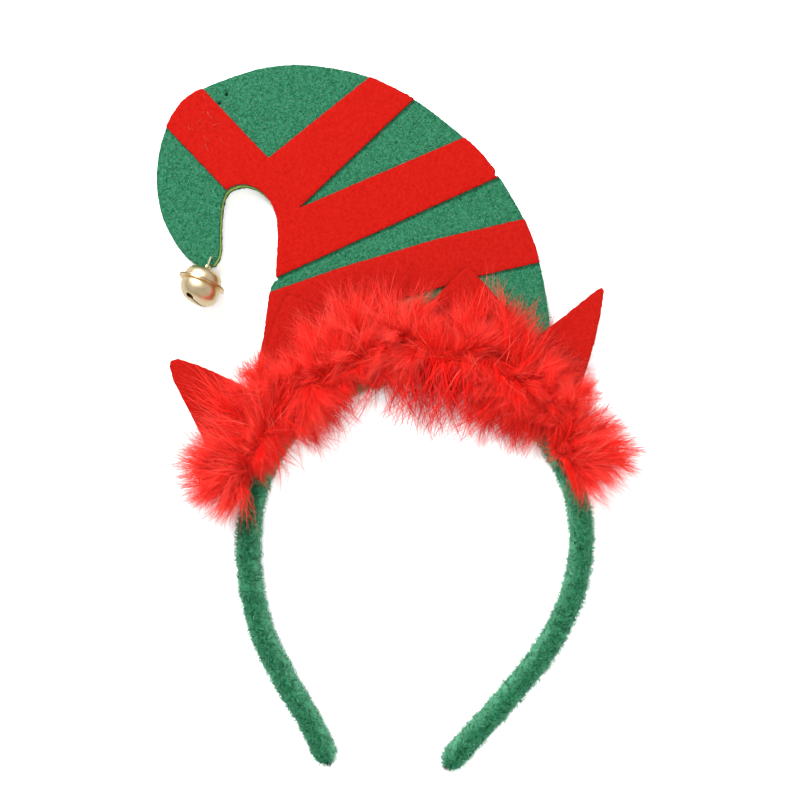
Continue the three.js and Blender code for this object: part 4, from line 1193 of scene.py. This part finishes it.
flange_edge = [
    (FLANGE_RADIUS - FLANGE_BEVEL["in"], FLANGE_HALF), (FLANGE_RADIUS, FLANGE_HALF - FLANGE_BEVEL["down"]),
    (FLANGE_RADIUS, FLANGE_LIP["high"]), (FLANGE_RADIUS - FLANGE_LIP["in"], SEAM_HALF)]
upper_profile = dome(UPPER_RADIUS, UPPER_HIGH, 90, 10, 22)
upper_profile += [(UPPER_RADIUS - UPPER_GROOVE, FLANGE_HALF + FLANGE_STEP), *flange_edge]
upper_profile += [(UPPER_RADIUS - BELL_WALL, SEAM_HALF)]
upper_profile += dome(UPPER_RADIUS - BELL_WALL, UPPER_HIGH - BELL_WALL, 6, 90, 14)
upper_mesh = turned("bell_upper_cup", upper_profile, gold)
loop_arc = [(LOOP_HALF * math.cos(a), LOOP_TOP + LOOP_HALF * math.sin(a))
            for a in np.radians(range(150, 29, -30))]
loop_leg = [(LOOP_HALF, LOOP_TOP - LOOP_SHOULDER), (LOOP_HALF, UPPER_HIGH - LOOP_FOOT)]
loop_route = [(-x, y) for x, y in reversed(loop_leg)] + loop_arc + loop_leg
loop_path = smooth_path(loop_route, LOOP_STEP)
loop_along = unit(np.gradient(loop_path, axis=0))
loop_points = []
for (x, y), (ux, uy) in zip(loop_path, loop_along):
    for around in spokes(LOOP_SIDES):
        out = LOOP_WIRE * math.cos(around)
        loop_points.append((x + uy * out, y - ux * out, LOOP_WIRE * math.sin(around)))
lift = Matrix.Translation((0, UPPER_HIGH, 0)) @ Matrix.Rotation(math.radians(LOOP_LIFT), 4, "X")
lift = lift @ Matrix.Translation((0, -UPPER_HIGH, 0))
loop_mesh = bpy.data.meshes.new("bell_loop_wire")
loop_mesh.from_pydata(
    [tuple(lift @ Vector(p)) for p in loop_points], [], ring_faces(len(loop_path), LOOP_SIDES))
upper_bm = bmesh.new()
upper_bm.from_mesh(upper_mesh)
upper_bm.from_mesh(loop_mesh)
upper_bm.to_mesh(upper_mesh)
upper_bm.free()
seat_bell("bell_upper_cup", upper_mesh, "bell_upper")

lower_profile = [(LOWER_RADIUS - BELL_WALL, SEAM_HALF), *reversed(flange_edge)]
lower_profile += [(LOWER_RADIUS - LOWER_GROOVE, FLANGE_HALF + FLANGE_STEP),
                  (LOWER_RADIUS - LOWER_SHOULDER["in"], FLANGE_HALF + LOWER_SHOULDER["high"])]
lower_profile += dome(LOWER_RADIUS, LOWER_LOW, 9, 90, 26)
lower_profile += dome(LOWER_RADIUS - BELL_WALL, LOWER_LOW - BELL_WALL, 90, 8, 18)
lower_mesh = turned("bell_lower_cup", [(r, -h) for r, h in lower_profile], gold)
cutter_bm = bmesh.new()
bmesh.ops.create_cube(cutter_bm, size=1.0, matrix=Matrix.Translation((0, -LOWER_LOW, 0)) @ Matrix.Diagonal(
    (SLOT_WIDE, SLOT_DEEP, 2 * SLOT_OUT, 1.0)))
slot_cutters = [cutter_bm]
for end in (1, -1):
    hole_bm = bmesh.new()
    tilt = Matrix.Rotation(math.radians(-SLOT_HOLE_TILT * end), 4, "X")
    tilt = tilt @ Matrix.Rotation(math.pi / 2, 4, "X")
    place = Matrix.Translation((0, SLOT_HOLE_RISE - LOWER_LOW, SLOT_OUT * end))
    bmesh.ops.create_cone(hole_bm, cap_ends=True, segments=32, radius1=SLOT_HOLE, radius2=SLOT_HOLE,
                          depth=SLOT_DEEP, matrix=place @ tilt)
    slot_cutters.append(hole_bm)
lower_work = placed("bell_lower_work", lower_mesh)
cutter_objects = []
for i, bm in enumerate(slot_cutters):
    bmesh.ops.recalc_face_normals(bm, faces=bm.faces)
    cutter = placed(f"slot_cutter_{i}", bpy.data.meshes.new(f"slot_cutter_{i}"))
    bm.to_mesh(cutter.data)
    bm.free()
    cutter.data.transform(Matrix.Rotation(math.radians(SLOT_TURN), 4, "Y"))
    cutter_objects.append(cutter)
    punch = lower_work.modifiers.new(f"punch_{i}", "BOOLEAN")
    punch.operation = "DIFFERENCE"
    punch.solver = "EXACT"
    punch.object = cutter
punched = bpy.data.meshes.new_from_object(lower_work.evaluated_get(bpy.context.evaluated_depsgraph_get()))
for spent in (lower_work, *cutter_objects):
    bpy.data.objects.remove(spent)
for corner in punched.vertices:
    corner.co.x -= LOWER_LEAN * min(corner.co.y, 0)
    corner.co.y *= 1 - LOWER_SKEW * corner.co.z / LOWER_RADIUS
seat_bell("bell_lower_cup", punched, "bell_lower")

# Thread
# A pale two-ply sewing thread that ties the bell's loop to the tip of the hat with one stitch
# through the front felt.
STITCH_NEAR = 6.0
STITCH_LONG = 4.1
STITCH_LOW, STITCH_HIGH = 3.25, 9.25
STITCH_ROUND = 0.9
STITCH_STEP = 0.16
PLY_RADIUS = 0.2
PLY_OFFSET = 0.17
PLY_TWISTS = 9
PLY_SIDES = 8
THREAD_TONES = ((196, 180, 132), (232, 220, 180), (246, 240, 214))
stitch_axis = np.array((math.sin(math.radians(BELL_TURN)), math.cos(math.radians(BELL_TURN)), 0.0))
stitch_from = np.array((*BELL_SPOT, 0.0)) + stitch_axis * STITCH_NEAR
stitch_far = STITCH_LONG - STITCH_ROUND
stitch_low, stitch_top = STITCH_LOW + STITCH_ROUND, STITCH_HIGH - STITCH_ROUND
stitch_route = []
for s, z, first in (
    (stitch_far, stitch_low, -90), (stitch_far, stitch_top, 0),
    (STITCH_ROUND, stitch_top, 90), (STITCH_ROUND, stitch_low, 180),
):
    for a in np.radians(first + np.arange(0, 91, 22.5)):
        stitch_route.append(stitch_from + stitch_axis * (s + STITCH_ROUND * math.cos(a))
                            + upward * (z + STITCH_ROUND * math.sin(a)))
stitch_route.append(stitch_route[0])
stitch_path = smooth_path(stitch_route, STITCH_STEP)[:-1]
stitch_tangent = unit(np.roll(stitch_path, -1, axis=0) - np.roll(stitch_path, 1, axis=0))
stitch_across = np.cross(stitch_axis, upward)
stitch_out = np.cross(stitch_tangent, stitch_across)
thread_points, thread_faces = [], []
rings = len(stitch_path)
twists = 2 * math.pi * np.arange(rings) / rings * PLY_TWISTS
for ply in (0.0, math.pi):
    base = len(thread_points)
    for p, out, twist in zip(stitch_path, stitch_out, twists):
        centre = p + PLY_OFFSET * (stitch_across * math.cos(twist + ply) + out * math.sin(twist + ply))
        for around in spokes(PLY_SIDES):
            spoke = stitch_across * math.cos(around) + out * math.sin(around)
            thread_points.append(centre + PLY_RADIUS * spoke)
    for r in range(rings):
        here, there = base + r * PLY_SIDES, base + (r + 1) % rings * PLY_SIDES
        for k in range(PLY_SIDES):
            j = (k + 1) % PLY_SIDES
            thread_faces.append((here + k, there + k, there + j, here + j))
thread_finish = felt_finish("pale_thread", THREAD_TONES, fibre_mm=0.3, cloud_mm=0.5,
                            fibre_share=0.3, relief_mm=0.05, sheen=0.2)
thread = solid("bell_thread_twist", thread_points, thread_faces, thread_finish)
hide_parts("bell_thread")
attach(thread, "root")
